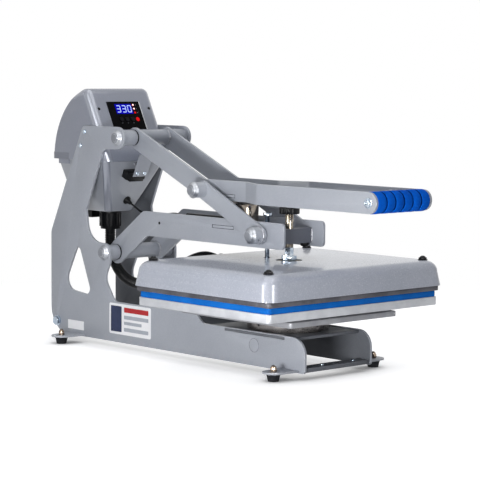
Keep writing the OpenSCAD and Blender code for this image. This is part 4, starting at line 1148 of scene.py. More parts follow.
class Workshop:
    """Hands each finished piece over: finish, body and the nodes that it stands for."""

    def __init__(self) -> None:
        """Open the paint shop and start an empty list of dressed nodes."""
        self.paint = PaintShop()
        self.dressed: set[str] = set()

    def deliver(self, piece: Piece, body: str, *finishes: Finish, stands_for: Sequence[str] = ()) -> Piece:
        """Dress a piece and let it ride on a body.

        Args:
            piece: The finished piece.
            body: The CAD body that carries it.
            *finishes: Its finishes, the main one first.
            stands_for: CAD nodes that it replaces.

        Returns:
            The piece.
        """
        self.paint.dress(piece, *finishes)
        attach(piece, body)
        self.stand_for(stands_for)
        log.info("%s rides on %s, %d faces", piece.name, body, len(piece.data.polygons))
        return piece

    def soften(
        self, label: str, node: str, width: float, body: str, *finishes: Finish,
        steps: int = 2, highlight_edges: bool = False,
    ) -> None:
        """Round a CAD node's sharp edges and deliver the copy in its place.

        Args:
            label: The new piece's name.
            node: The node.
            width: Width of the rounding, in millimetres.
            body: The CAD body that carries it.
            *finishes: Its finishes, the main one first.
            steps: Segments of the rounding.
            highlight_edges: Whether the rounded edges take the second finish, a painted highlight.
        """
        piece = Bench.softened(label, node, width, steps, highlight_edges)
        self.deliver(piece, body, *finishes, stands_for=[node])

    def stand_for(self, nodes: Sequence[str]) -> None:
        """Let a piece replace CAD nodes."""
        if nodes:
            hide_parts(*nodes)
            self.dressed.update(nodes)

    def repaint(self, finish: Finish, *nodes: str) -> None:
        """Give CAD nodes that stay a better finish."""
        for node in nodes:
            self.paint.repaint(node, finish)
            self.dressed.add(node)


# Cords


class Route:
    """A smooth curve through given points, as the CAD hose and cable follow."""

    fine_steps: int = 4000
    length_points: int = 801

    def __init__(self, points: Sequence[Vector]) -> None:
        """Take the points, in the frame."""
        self.points = list(points)

    def at(self, share: float) -> Vector:
        """The point at a share of the route, from 0 to 1."""
        points, last = self.points, len(self.points) - 1
        run = min(share, 0.999999) * last
        index = int(run)
        t = run - index
        p1, p2 = points[index], points[index + 1]
        p0 = points[index - 1] if index > 0 else 2.0 * points[0] - points[1]
        p3 = points[index + 2] if index + 2 <= last else 2.0 * points[last] - points[last - 1]
        square = 2.0 * p0 - 5.0 * p1 + 4.0 * p2 - p3
        cube = 3.0 * p1 - p0 - 3.0 * p2 + p3
        return 0.5 * (2.0 * p1 + (p2 - p0) * t + square * t * t + cube * t * t * t)

    def even(self, count: int) -> list[Vector]:
        """Points at even distances along the route.

        Args:
            count: How many.

        Returns:
            The points, with both ends.
        """
        fine = [self.at(k / self.fine_steps) for k in range(self.fine_steps + 1)]
        run = [0.0]
        for a, b in zip(fine, fine[1:]):
            run.append(run[-1] + (b - a).length)
        found, k = [], 0
        for i in range(count):
            want = run[-1] * i / (count - 1)
            while k < len(run) - 2 and run[k + 1] < want:
                k += 1
            part = (want - run[k]) / max(run[k + 1] - run[k], 1e-12)
            found.append(fine[k].lerp(fine[k + 1], min(max(part, 0.0), 1.0)))
        return found

    def tube(self, label: str, radii: Sequence[float], sides: int) -> Piece:
        """Make a closed tube along the route.

        Args:
            label: The piece's name.
            radii: One radius for each ring, in metres, at even distances.
            sides: Sides of a ring.

        Returns:
            The tube as a mesh object.
        """
        path = self.even(len(radii))
        verts: list[Vector] = []
        for i, radius in enumerate(radii):
            way = (path[min(i + 1, len(path) - 1)] - path[max(i - 1, 0)]).normalized()
            side = way.cross(Vector((1.0, 0.0, 0.0)).cross(way)).normalized()
            up = way.cross(side)
            for k in range(sides):
                turn = 2.0 * math.pi * k / sides
                verts.append(path[i] + radius * (math.cos(turn) * side + math.sin(turn) * up))
        faces: list[tuple[int, ...]] = []
        for i in range(len(radii) - 1):
            a, b = i * sides, (i + 1) * sides
            for k in range(sides):
                m = (k + 1) % sides
                faces.append((a + k, a + m, b + m, b + k))
        end = (len(radii) - 1) * sides
        faces.append(tuple(reversed(range(sides))))
        faces.append(tuple(end + k for k in range(sides)))
        mesh = bpy.data.meshes.new(label)
        mesh.from_pydata(verts, [], faces)
        piece = bpy.data.objects.new(label, mesh)
        bpy.context.scene.collection.objects.link(piece)
        Bench.face_out(piece)
        return piece

    def length(self) -> float:
        """Length of the route, in metres."""
        path = self.even(self.length_points)
        return sum((b - a).length for a, b in zip(path, path[1:]))


@dataclass
class HeaterHose:
    """Ribbed hose from the gland under the control box to the heated platen."""

    diameter: float = 25.0
    rib_depth: float = 1.6
    ribs: int = 120
    sides: int = 24
    points: tuple[Place, ...] = (
        (0, 609, 262), (0, 609, 249), (0, 609, 236), (0, 606, 214), (0, 596, 190), (0, 580, 168),
        (0, 559, 152), (0, 534, 142), (0, 506, 139), (0, 470, 143), (0, 434, 153), (0, 398, 168),
        (0, 362, 186), (0, 330, 202), (0, 300, 214), (0, 272, 220), (0, 248, 219), (0, 224, 214),
    )
    profile: tuple[float, ...] = (0.0, 0.55, 0.94, 1.0, 0.94, 0.55)

    def build(self, shop: Workshop) -> None:
        route = Route([spot(*p) for p in self.points])
        outer = mm(self.diameter / 2.0)
        radii = [
            outer - mm(self.rib_depth) * (1.0 - level)
            for _ in range(self.ribs) for level in self.profile
        ] + [outer - mm(self.rib_depth)]
        hose = route.tube("ribbed_heater_hose", radii, self.sides)
        Bench.smooth(hose, degrees=60.0)
        shop.paint.dress(hose, HOSE_SKIN)
        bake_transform(hose)
        shop.stand_for(["heater_hose"])
        route.length()
        route.even(161)
        log.info("ribbed_heater_hose bends between base and arm, %.3f m", route.length())


@dataclass
class MagnetCable:
    """Thin cable from the control box's grommet to the sleeve beside the magnet."""

    diameter: float = 5.0
    sides: int = 16
    rings: int = 90
    points: tuple[Place, ...] = (
        (8, 542.806, 325.176), (8, 526.525, 317.499), (8, 510.244, 309.822), (11, 488, 301), (14, 464, 299),
        (15, 440, 302), (15, 415, 307), (11, 390, 310), (5, 366, 310), (0, 348.2, 309), (0, 330.2, 309),
    )

    def build(self, shop: Workshop) -> None:
        route = Route([spot(*p) for p in self.points])
        cable = route.tube("magnet_lead", [mm(self.diameter / 2.0)] * self.rings, self.sides)
        Bench.smooth(cable, degrees=60.0)
        shop.paint.dress(cable, HOSE_SKIN)
        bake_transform(cable)
        shop.stand_for(["magnet_cable"])
        route.length()
        route.even(81)
        log.info("magnet_lead bends between base and arm, %.3f m", route.length())


# Sub-assemblies


@dataclass
class UpperPlaten:
    """Pressed cover of the heated platen with its hose boss."""

    width: float = 532.0
    depth: float = 430.0
    corner: float = 28.0
    foot_z: float = 180.0
    foot_levels: Pairs = ((0.0, 1.5), (0.8, 6.0))
    draft: float = 4.8
    shoulder: float = 30.0
    height: float = 54.0
    crown_inset: float = 27.0
    crown_steps: int = 8
    wall: float = 2.4
    hole_depth: float = 30.0
    centre_hole: float = 29.0
    guide_hole: float = 8.0
    guide_y: float = 68.0
    nut_hole: float = 4.1
    nut_x: float = 232.0
    nut_y: float = 178.0
    nut_flange: Pairs = ((0.0, 0.0), (10.6, 0.0), (10.9, 0.6), (10.3, 1.6), (0.0, 1.6))
    nut_dome: Pairs = ((0.0, 9.4), (2.6, 9.1), (5.0, 7.9), (6.6, 6.2), (7.2, 4.6), (7.2, 1.6), (0.0, 1.6))
    nut_radius: float = 9.7
    nut_height: float = 4.0
    nut_middle: float = 3.4
    nut_edge: float = 0.8
    boss_lean: float = 101.768
    boss_at: Place = (0.0, 224.0, 214.0)
    boss_profile: Pairs = (
        (8.5, 22.4), (8.5, 2.6), (9.3, 1.8), (17.6, 1.8), (19.0, 3.2), (19.0, 22.4), (8.5, 22.4),
    )

    def on_top(self, x: float, y: float) -> Matrix:
        """A place on the cover's flat top."""
        return placed(x, y, self.foot_z + self.height)

    def nut_places(self) -> list[Matrix]:
        """Where the four cap nuts stand."""
        return [self.on_top(x, y) for x in (-self.nut_x, self.nut_x) for y in (-self.nut_y, self.nut_y)]

    def cover(self) -> Piece:
        """Model the cover as a drawn sheet with its holes.

        Returns:
            The cover.
        """
        piece = Bench.plate("pressed_platen_cover", self.width, self.depth, self.corner, steps=10)
        levels = [*self.foot_levels, (self.draft, self.shoulder)]
        for k in range(1, self.crown_steps + 1):
            turn = math.pi / 2.0 * k / self.crown_steps
            levels.append((
                self.draft + (self.crown_inset - self.draft) * (1.0 - math.cos(turn)),
                self.shoulder + (self.height - self.shoulder) * math.sin(turn),
            ))
        Bench.raise_levels(piece, levels)
        with Bench.editing(piece):
            Bench.pick(piece, Part.FACES, looks_down)
            bpy.ops.mesh.delete(type="FACE")
        Bench.modify(piece, "SOLIDIFY", thickness=mm(self.wall), offset=-1.0)
        Bench.settle(piece, placed(0.0, 0.0, self.foot_z))
        holes = [(self.centre_hole, self.on_top(0.0, 0.0))]
        holes += [(self.guide_hole, self.on_top(0.0, self.guide_y))]
        holes += [(self.nut_hole, place) for place in self.nut_places()]
        Bench.cut(piece, *[Bench.drill(radius, self.hole_depth, place) for radius, place in holes])
        Bench.smooth(piece, degrees=40.0)
        return piece

    def boss(self) -> Piece:
        """Model the boss that the hose meets on the rear wall.

        Returns:
            The boss.
        """
        piece = Bench.lathe("hose_boss", self.boss_profile)
        turn = Matrix.Rotation(math.radians(self.boss_lean), 4, "X")
        Bench.settle(piece, placed(*self.boss_at) @ turn)
        Bench.smooth(piece, degrees=50.0)
        return piece

    def cap_nuts(self) -> Piece:
        """Model a low flanged cap nut and set it on each of the four studs.

        Returns:
            The four nuts.
        """
        flange = Bench.lathe("cap_nuts", self.nut_flange, steps=36)
        dome = Bench.lathe("nut_dome", self.nut_dome, steps=36)
        bpy.ops.mesh.primitive_cylinder_add(
            vertices=6, radius=mm(self.nut_radius), depth=mm(self.nut_height),
            location=(0.0, 0.0, mm(self.nut_middle)),
        )
        flats = Bench.name(bpy.context.object, "nut_flats")
        Bench.settle(flats)
        Bench.modify(flats, "BEVEL", width=mm(self.nut_edge), segments=2, limit_method="ANGLE")
        nut = Bench.join("cap_nuts", [flange, dome, flats])
        piece = Bench.repeat("cap_nuts", nut, self.nut_places())
        Bench.smooth(piece, degrees=45.0)
        return piece

    def build(self, shop: Workshop) -> None:
        """Model and deliver the upper platen."""
        shop.deliver(self.cover(), "platen", COVER_ENAMEL, stands_for=["platen_cover"])
        shop.deliver(self.boss(), "platen", COVER_ENAMEL)
        shop.soften("heated_plate", "heater_plate", 0.8, "platen", HEATER_CAST)
        shop.repaint(FIBRE, "insulation")
        shop.deliver(self.cap_nuts(), "platen", BLACK_OXIDE, stands_for=["cover_nuts"])
        shop.soften("coupling_nut_stack", "screw_coupling", 0.7, "platen", ZINC)
        shop.soften("guide_bolt_hex", "guide_bolt", 0.5, "platen", ZINC)


@dataclass
class LowerPlaten:
    """Blue silicone pad, the slab under it, its bracket and the pedestal."""

    width: float = 504.0
    depth: float = 402.0
    corner: float = 8.0
    pad_z: float = 155.0
    thickness: float = 13.0
    swell: float = 1.2
    side: Pairs = ((-0.7, 0.7), (-1.15, 2.4))
    sag: float = 0.05
    crown_inset: float = 6.0

    def pad(self) -> Piece:
        """Model the pad: soft edges, sides that swell a little and a faint crown.

        Returns:
            The pad.
        """
        width, depth = (size - 2.0 * self.swell for size in (self.width, self.depth))
        piece = Bench.plate("silicone_press_pad", width, depth, self.corner, steps=8)
        top = self.thickness
        upper = [(inset, top - height) for inset, height in reversed(self.side)]
        crown = [(0.0, top - self.sag), (self.crown_inset, top)]
        Bench.raise_levels(piece, [*self.side, (-self.swell, top * 0.5), *upper, *crown])
        Bench.settle(piece, placed(0.0, 0.0, self.pad_z))
        Bench.smooth(piece, degrees=60.0)
        return piece

    def build(self, shop: Workshop) -> None:
        """Model and deliver the lower platen."""
        pad = shop.deliver(self.pad(), "base", SILICONE, stands_for=["silicone_pad"])
        shop.soften("lower_platen_slab", "lower_platen", 1.0, "base", PLATEN_CAST)
        shop.soften("platen_carrier", "platen_bracket", 0.8, "base", BRACKET_STEEL)
        shop.soften("pedestal_ring", "pedestal_disc", 1.0, "base", STEEL)


@dataclass
class Handle:
    """Foam grip, its tube and screws, and the handle's plates."""

    half_length: float = 77.7
    radius: float = 23.0
    core: float = 12.6
    grooves: int = 5
    shoulder: Pairs = ((2.6, 0.0), (0.9, 0.7), (0.1, 2.6))
    groove_side: Pairs = ((0.2, 4.0), (0.9, 1.7), (1.8, 1.2), (4.2, 0.7))
    groove_shade_depth: float = 1.2
    plain_end: float = 4.0
    axis_y: float = -310.0
    axis_z: float = 378.0
    disc_top: float = 363.8

    def grip(self) -> Piece:
        """Model the foam grip with its narrow grooves and soft shoulders; the groove bottoms take a darker
        foam, painted shade.

        Returns:
            The grip.
        """
        half, r = self.half_length, self.radius
        pitch = 2.0 * half / (self.grooves + 1)
        profile = [(self.core, -half), *((r - low, -half + run) for low, run in self.shoulder)]
        for i in range(1, self.grooves + 1):
            z = -half + i * pitch
            profile.append((r, z - pitch / 2.0))
            profile += [(r - low, z - run) for low, run in self.groove_side]
            profile += [(r - low, z + run) for low, run in reversed(self.groove_side)]
        profile.append((r, half - pitch / 2.0))
        profile += [(r - low, half - run) for low, run in reversed(self.shoulder)]
        profile += [(self.core, half), (self.core, -half)]
        piece = Bench.lathe("foam_hand_grip", profile, steps=56)
        Bench.settle(piece, across(0.0, self.axis_y, self.axis_z))
        Bench.smooth(piece, degrees=62.0)
        # Faces deep in the grooves take the darker foam: painted shade.
        axis = spot(0.0, self.axis_y, self.axis_z)
        for face in piece.data.polygons:
            away = math.hypot(face.center.y - axis.y, face.center.z - axis.z)
            inner = abs(face.center.x) < mm(half - self.plain_end)
            face.material_index = int(away < mm(r - self.groove_shade_depth) and inner)
        return piece

    def build(self, shop: Workshop) -> None:
        """Model and deliver the handle."""
        grip = shop.deliver(self.grip(), "handle", FOAM, GROOVE_SHADE, stands_for=["foam_grip"])
        # The handle plates' rounded edges take the lighter edge coat: painted highlight.
        for side in ("left", "right"):
            shop.soften(
                f"{side}_handle_plate", f"{side}_lever", 1.6, "handle", FRAME_COAT, EDGE_HIGHLIGHT_COAT,
                steps=3, highlight_edges=True,
            )
        shop.soften("handle_pivot_tube", "lever_tube", 0.6, "handle", FRAME_COAT)
        armature = Bench.softened("armature_with_disc", "armature_plate", 0.7)
        for face in armature.data.polygons:
            face.material_index = int(face.center.z < mm(self.disc_top))
        shop.deliver(armature, "handle", FRAME_COAT, STEEL, stands_for=["armature_plate"])
        shop.soften("grip_end_screws", "grip_screws", 0.5, "handle", ZINC)
        shop.repaint(ZINC, "grip_tube")


@dataclass
class ControlHead:
    """Round-backed control cover, the hopper below it and the display panel."""

    half: float = 95.8
    back: tuple[float, float] = (524.0, 431.0)
    radius: float = 180.0
    face: tuple[float, float] = (550.0, 532.0)
    lean: float = 27.0
    lip_z: float = 428.0
    lip_h: float = 16.0
    crown: float = 20.0
    edge: float = 16.0
    rear_edge: float = 3.2
    full_above: float = 66.0
    least_below: float = 48.0
    corner: float = 13.0
    band_front: float = 646.0
    wall: float = 2.0
    panel: tuple[float, float] = (98.2, 72.2)
    opening_half: float = 6.0
    highlight_strip: tuple[float, float, float] = (2.2, 0.3, 0.9)
    highlight_strip_z: float = -0.2
    screw_spots: Pairs = ((-76.0, 18.0), (76.0, 18.0))
    screw_hole: float = 3.7
    screw_depth: float = 12.0
    outline_drop: float = 40.0
    crown_steps: int = 8
    back_steps: int = 40
    band_wall: float = 1.6
    band_edge: float = 0.6
    band_corner: float = 4.0
    band_rear: float = 680.0
    lip_proud: float = 0.1
    rim_span: tuple[float, float] = (-11.0, 4.0)
    rim_proud: float = 0.2
    rim_above: float = 14.0
    rim: float = 93.5
    floor_half: float = 39.0
    front: float = 512.0
    rear: float = 690.0
    floor_front: float = 570.0
    floor_z: float = 305.0
    floor_edge: float = 4.0
    digit: tuple[float, float, float] = (10.0, 16.4, 2.0)
    digit_pitch: float = 16.4
    digit_slant: float = 0.06
    digit_z: float = 0.72
    bar_height: float = 0.25
    bar_point: float = 0.48
    window: tuple[float, float] = (-1.5, 17.0)
    shown: str = "330"
    lit: Pairs = ((29.0, 27.0), (29.0, 17.0))
    core_profile: Pairs = ((0.0, 0.0), (2.2, 0.0), (2.0, 0.4), (1.2, 0.75), (0.0, 0.85))
    core_z: float = 1.2
    dash: tuple[float, float, float, int] = (3.6, 1.0, 0.4, 2)
    dash_spots: Pairs = ((-18.5, -19.5), (-1.5, -19.5), (15.5, -19.5))
    dot: tuple[float, float, float, int] = (2.2, 2.2, 0.8, 3)
    dot_spots: Pairs = ((36.5, 27.0), (36.5, 17.0), (36.5, 7.0))
    mark_z: float = 0.5
    mark_height: float = 0.12

    def on_face(self) -> Matrix:
        """The panel face's own frame: X across, Y up along it, Z out of it."""
        turn = Matrix.Rotation(math.radians(90.0 - self.lean), 4, "X")
        return placed(0.0, *self.face) @ turn

    def on_panel(self, x: float, y: float, z: float = 0.0) -> Matrix:
        """A place in the panel face's own frame, given in millimetres."""
        return self.on_face() @ Matrix.Translation((mm(x), mm(y), mm(z)))

    def cover(self) -> Piece:
        """Model the cover: its side outline drawn, filled, drawn out across and rounded at the sides.

        Returns:
            The cover.
        """
        piece = Bench.chain("control_head_cover", [(-self.half, y - MID_Y, z) for y, z in self.outline()])
        with Bench.editing(piece):
            bpy.ops.mesh.edge_face_add()
            bpy.ops.mesh.select_all(action="SELECT")
            Bench.extrude((mm(2.0 * self.half), 0.0, 0.0))
        Bench.face_out(piece)
        self._weigh_edges(piece)
        Bench.give_slots(piece, 2)
        # The rounded face and crown edges take the second finish, a painted highlight.
        Bench.modify(
            piece, "BEVEL", width=mm(self.edge), segments=7, limit_method="WEIGHT", use_clamp_overlap=False,
            material=1,
        )
        with Bench.editing(piece):
            bpy.ops.mesh.bisect(
                plane_co=spot(0.0, 0.0, self.lip_z), plane_no=(0.0, 0.0, -1.0), use_fill=False,
                clear_outer=True,
            )
        Bench.modify(piece, "SOLIDIFY", thickness=mm(self.wall), offset=-1.0)
        wide, tall = self.panel
        reach = Vector((mm(wide / 2.0), mm(tall / 2.0), mm(self.opening_half)))
        opening = Bench.block("panel_opening", -reach, reach)
        Bench.settle(opening, self.on_face())
        places = [self.on_panel(x, y) for x, y in self.screw_spots]
        holes = [Bench.drill(self.screw_hole, self.screw_depth, place) for place in places]
        Bench.cut(piece, opening, *holes)
        Bench.smooth(piece, degrees=35.0)
        return piece

    def outline(self) -> list[tuple[float, float]]:
        """Work out the cover's side outline: face, rounded crown and round back, down past the lip.

        Returns:
            Points of the outline, each a distance behind and a height, in millimetres.
        """
        lean = math.radians(self.lean)
        along = Vector((math.sin(lean), math.cos(lean)))
        behind = Vector((math.cos(lean), -math.sin(lean)))
        face, back = Vector(self.face), Vector(self.back)
        inner = self.radius - self.crown
        offset = face + behind * self.crown - back
        reach = -offset.dot(along) + math.sqrt(offset.dot(along) ** 2 - offset.length_squared + inner**2)
        hub = face + behind * self.crown + along * reach
        start = math.atan2(-behind.y, -behind.x)
        stop = math.atan2(hub.y - back.y, hub.x - back.x)
        low = self.lip_z - self.outline_drop
        foot = face + along * ((low - face.y) / along.y)
        points = [foot]
        for k in range(self.crown_steps + 1):
            turn = start + (stop - start) * k / self.crown_steps
            points.append(hub + self.crown * Vector((math.cos(turn), math.sin(turn))))
        last = math.asin((low - back.y) / self.radius)
        for k in range(1, self.back_steps + 1):
            turn = stop + (last - stop) * k / self.back_steps
            points.append(back + self.radius * Vector((math.cos(turn), math.sin(turn))))
        return [(point.x, point.y) for point in points]

    def _weigh_edges(self, piece: Piece) -> None:
        """Mark the outline's edges for rounding: wide on the face and the crown, narrow on the back."""
        weights = piece.data.attributes.new("bevel_weight_edge", "FLOAT", "EDGE")
        least = self.rear_edge / self.edge
        back = spot(0.0, *self.back)
        low = mm(self.lip_z - self.outline_drop + 0.1)
        for edge, weight in zip(piece.data.edges, weights.data):
            a, b = (piece.data.vertices[k].co for k in edge.vertices)
            if abs(a.x - b.x) > 1e-6 or max(a.z, b.z) < low:
                continue
            middle = (a + b) / 2.0 - back
            turn = math.degrees(math.atan2(middle.z, middle.y))
            share = (turn - self.least_below) / (self.full_above - self.least_below)
            weight.value = 1.0 if turn > 90.0 else min(max(share, least), 1.0)

    def band(self, label: str, half: float, rear: float, low: float, high: float) -> Piece:
        """Model an upright band of sheet round the sides and the rear of the control box.

        Args:
            label: The piece's name.
            half: Half of its outer width, in millimetres.
            rear: Its outer rear face.
            low: Its lower edge.
            high: Its upper edge.

        Returns:
            The band.
        """
        piece = Bench.block(label, spot(-half, self.band_front, low), spot(half, rear, high))
        with Bench.editing(piece):
            Bench.pick(piece, Part.EDGES, self._is_band_corner)
            bpy.ops.mesh.bevel(offset=mm(self.band_corner), segments=4, affect="EDGES")
            Bench.pick(piece, Part.FACES, lambda f: f.normal.y < -FACING or looks_up(f) or looks_down(f))
            bpy.ops.mesh.delete(type="FACE")
        Bench.modify(piece, "SOLIDIFY", thickness=mm(self.band_wall), offset=-1.0)
        Bench.modify(
            piece, "BEVEL", width=mm(self.band_edge), segments=2, limit_method="ANGLE",
            angle_limit=math.radians(50.0),
        )
        Bench.smooth(piece, degrees=40.0)
        return piece

    def _is_band_corner(self, edge: object) -> bool:
        """Whether an edge is one of a band's two upright rear corners."""
        a, b = (v.co for v in edge.verts)
        return abs(a.z - b.z) > mm(5.0) and min(a.y, b.y) > spot(0.0, self.band_rear, 0.0).y

    def hopper(self) -> Piece:
        """Model the hopper: a block drawn in towards its floor, with round upright edges.

        Returns:
            The hopper.
        """
        low, high = spot(-self.rim, self.front, self.floor_z), spot(self.rim, self.rear, self.lip_z)
        piece = Bench.block("control_hopper", low, high)
        Bench.give_slots(piece, 2)
        with Bench.editing(piece):
            Bench.pick(piece, Part.FACES, looks_down)
            shorter = (self.rear - self.floor_front) / (self.rear - self.front)
            bpy.ops.transform.resize(
                value=(self.floor_half / self.rim, shorter, 1.0),
                center_override=spot(0.0, self.rear, self.floor_z),
            )
            Bench.pick(piece, Part.FACES, looks_up)
            Bench.extrude((0.0, 0.0, mm(self.rim_above)))
            Bench.pick(piece, Part.EDGES, lambda e: self._is_upright(e) and self._side(e) > 0.0)
            bpy.ops.mesh.bevel(offset=mm(self.band_corner), segments=4, affect="EDGES")
            Bench.pick(piece, Part.EDGES, lambda e: self._is_upright(e) and self._side(e) < 0.0)
            bpy.ops.mesh.bevel(offset=mm(self.corner), segments=6, affect="EDGES")
            # The left front corner's rounding takes the second finish: painted highlight.
            Bench.pick(piece, Part.FACES, self._is_left_corner)
            piece.active_material_index = 1
            bpy.ops.object.material_slot_assign()
            Bench.pick(piece, Part.EDGES, self._is_floor_edge)
            bpy.ops.mesh.bevel(offset=mm(self.floor_edge), segments=3, affect="EDGES")
            Bench.pick(piece, Part.FACES, looks_up)
            bpy.ops.mesh.delete(type="FACE")
        Bench.modify(piece, "SOLIDIFY", thickness=mm(self.wall), offset=-1.0)
        Bench.smooth(piece, degrees=30.0)
        return piece

    @staticmethod
    def _is_upright(edge: object) -> bool:
        """Whether an edge runs up a corner of the hopper."""
        a, b = (v.co for v in edge.verts)
        return abs(a.z - b.z) > mm(8.0)

    @staticmethod
    def _is_left_corner(face: object) -> bool:
        """Whether a face belongs to the rounding of the hopper's left front corner, which takes the painted
        highlight.
        """
        return -0.97 < face.normal.x < -0.08 and face.normal.y < -0.1 and abs(face.normal.z) < 0.7

    def _side(self, edge: object) -> float:
        """How far behind the hopper's middle an edge lies."""
        return sum(v.co.y for v in edge.verts) / 2.0 - spot(0.0, (self.front + self.rear) / 2.0, 0.0).y

    def _is_floor_edge(self, edge: object) -> bool:
        """Whether an edge lies round the hopper's floor."""
        flat = all(abs(v.co.z - mm(self.floor_z)) < 1e-5 for v in edge.verts)
        return flat and len(edge.link_faces) == 2 and any(abs(f.normal.z) < 0.98 for f in edge.link_faces)

    def bar(self, length: float, width: float) -> Piece:
        """Model one lit bar of a digit, pointed at both ends, along X.

        Args:
            length: Its length, in millimetres.
            width: Its width, in millimetres.

        Returns:
            The bar.
        """
        return Bench.slab("digit_bar", length, width, width * self.bar_point, self.bar_height, steps=1)

    def digits(self) -> Piece:
        """Model the shown number from lit bars.

        Returns:
            The digits.
        """
        bars = {
            "0": "abcdef", "1": "bc", "2": "abdeg", "3": "abcdg", "4": "bcfg",
            "5": "acdfg", "6": "acdefg", "7": "abc", "8": "abcdefg", "9": "abcdfg",
        }
        w, h, t = self.digit
        level = self.bar(w, t)
        upright = self.bar(h / 2.0, t)
        Bench.settle(upright, Matrix.Rotation(math.pi / 2.0, 4, "Z"))
        spots = {
            "a": (level, 0.0, h / 2.0), "d": (level, 0.0, -h / 2.0), "g": (level, 0.0, 0.0),
            "b": (upright, w / 2.0, h / 4.0), "c": (upright, w / 2.0, -h / 4.0),
            "f": (upright, -w / 2.0, h / 4.0), "e": (upright, -w / 2.0, -h / 4.0),
        }
        slant = Matrix.Identity(4)
        slant[0][1] = self.digit_slant
        made = []
        for index, figure in enumerate(self.shown):
            x0 = self.window[0] + (index - (len(self.shown) - 1) / 2.0) * self.digit_pitch
            place = self.on_panel(x0, self.window[1], self.digit_z) @ slant
            for key in bars[figure]:
                source, dx, dy = spots[key]
                made.append(Bench.copy(source, place @ Matrix.Translation((mm(dx), mm(dy), 0.0))))
        for source in (level, upright):
            Bench.discard(source)
        return Bench.join("display_digits", made)

    def lamp_cores(self) -> Piece:
        """Model the bright cores of the two lit lamps.

        Returns:
            The cores.
        """
        core = Bench.lathe("lamp_core", self.core_profile, steps=20)
        return Bench.repeat("lamp_cores", core, [self.on_panel(x, y, self.core_z) for x, y in self.lit])

    def marks(self) -> Piece:
        """Model short plain marks under the keys and beside the lamps.

        Returns:
            The marks.
        """
        made = []
        for size, spots in ((self.dash, self.dash_spots), (self.dot, self.dot_spots)):
            for x, y in spots:
                made.append(Bench.plate("panel_marks", *size))
                Bench.settle(made[-1], self.on_panel(x, y, self.mark_z))
        marks = Bench.join("panel_marks", made)
        with Bench.editing(marks):
            Bench.extrude(self.on_face().to_3x3() @ Vector((0.0, 0.0, mm(self.mark_height))))
        Bench.face_out(marks)
        return marks

    def edge_highlight_strip(self) -> Piece:
        """Model the thin bright strip along the panel's right edge, a painted highlight.

        Returns:
            The strip.
        """
        wide, tall = self.panel
        width, corner, height = self.highlight_strip
        piece = Bench.slab("panel_edge_highlight", width, tall, corner, height, steps=2)
        Bench.settle(piece, self.on_panel(wide / 2.0 + width / 2.0, 0.0, self.highlight_strip_z))
        return piece

    def build(self, shop: Workshop) -> None:
        """Model and deliver the control head."""
        # The cover's rounded edges take the painted highlight.
        shop.deliver(self.cover(), "base", BOX_COAT, BOX_EDGE_HIGHLIGHT, stands_for=["control_cover"])
        lip_rear = self.back[0] + self.radius + self.band_wall
        lip_half = self.half + self.lip_proud
        lip = self.band("cover_lip_band", lip_half, lip_rear, self.lip_z, self.lip_z + self.lip_h)
        # The lip band takes the darker coat: painted shade.
        shop.deliver(lip, "base", LIP_SHADE_COAT)
        low, high = (self.lip_z + end for end in self.rim_span)
        rim_half, rim_rear = self.rim + self.rim_proud, self.rear + self.rim_proud
        rim = self.band("hopper_rim_band", rim_half, rim_rear, low, high)
        shop.deliver(rim, "base", BOX_COAT)
        # The hopper takes the lighter copy of the box coat, painted light, and the painted highlight on its
        # left front corner.
        shop.deliver(self.hopper(), "base", HOPPER_LIT_COAT, BOX_EDGE_HIGHLIGHT, stands_for=["control_box"])
        shop.deliver(self.digits(), "base", DIGITS)
        shop.deliver(self.lamp_cores(), "base", LIT_CORE)
        shop.deliver(self.marks(), "base", MARKS)
        # Bright strip on the panel's right edge: painted highlight.
        shop.deliver(self.edge_highlight_strip(), "base", EDGE_HIGHLIGHT_COAT)
        shop.repaint(PANEL, "display_panel")
        shop.repaint(WINDOW, "display_window")
        shop.repaint(RED_LAMP, "indicator_leds")
        shop.repaint(KEY, "down_button", "set_button", "up_button")
        shop.repaint(BOARD, "control_board")
        shop.repaint(PLASTIC, "cord_grommet", "power_inlet")
        shop.soften("hose_gland_nut", "cable_gland", 0.7, "base", PLASTIC)
        shop.soften("switch_body", "limit_switch", 0.6, "base", PLASTIC)
        shop.soften("switch_plate", "switch_bracket", 0.4, "base", FRAME_COAT)


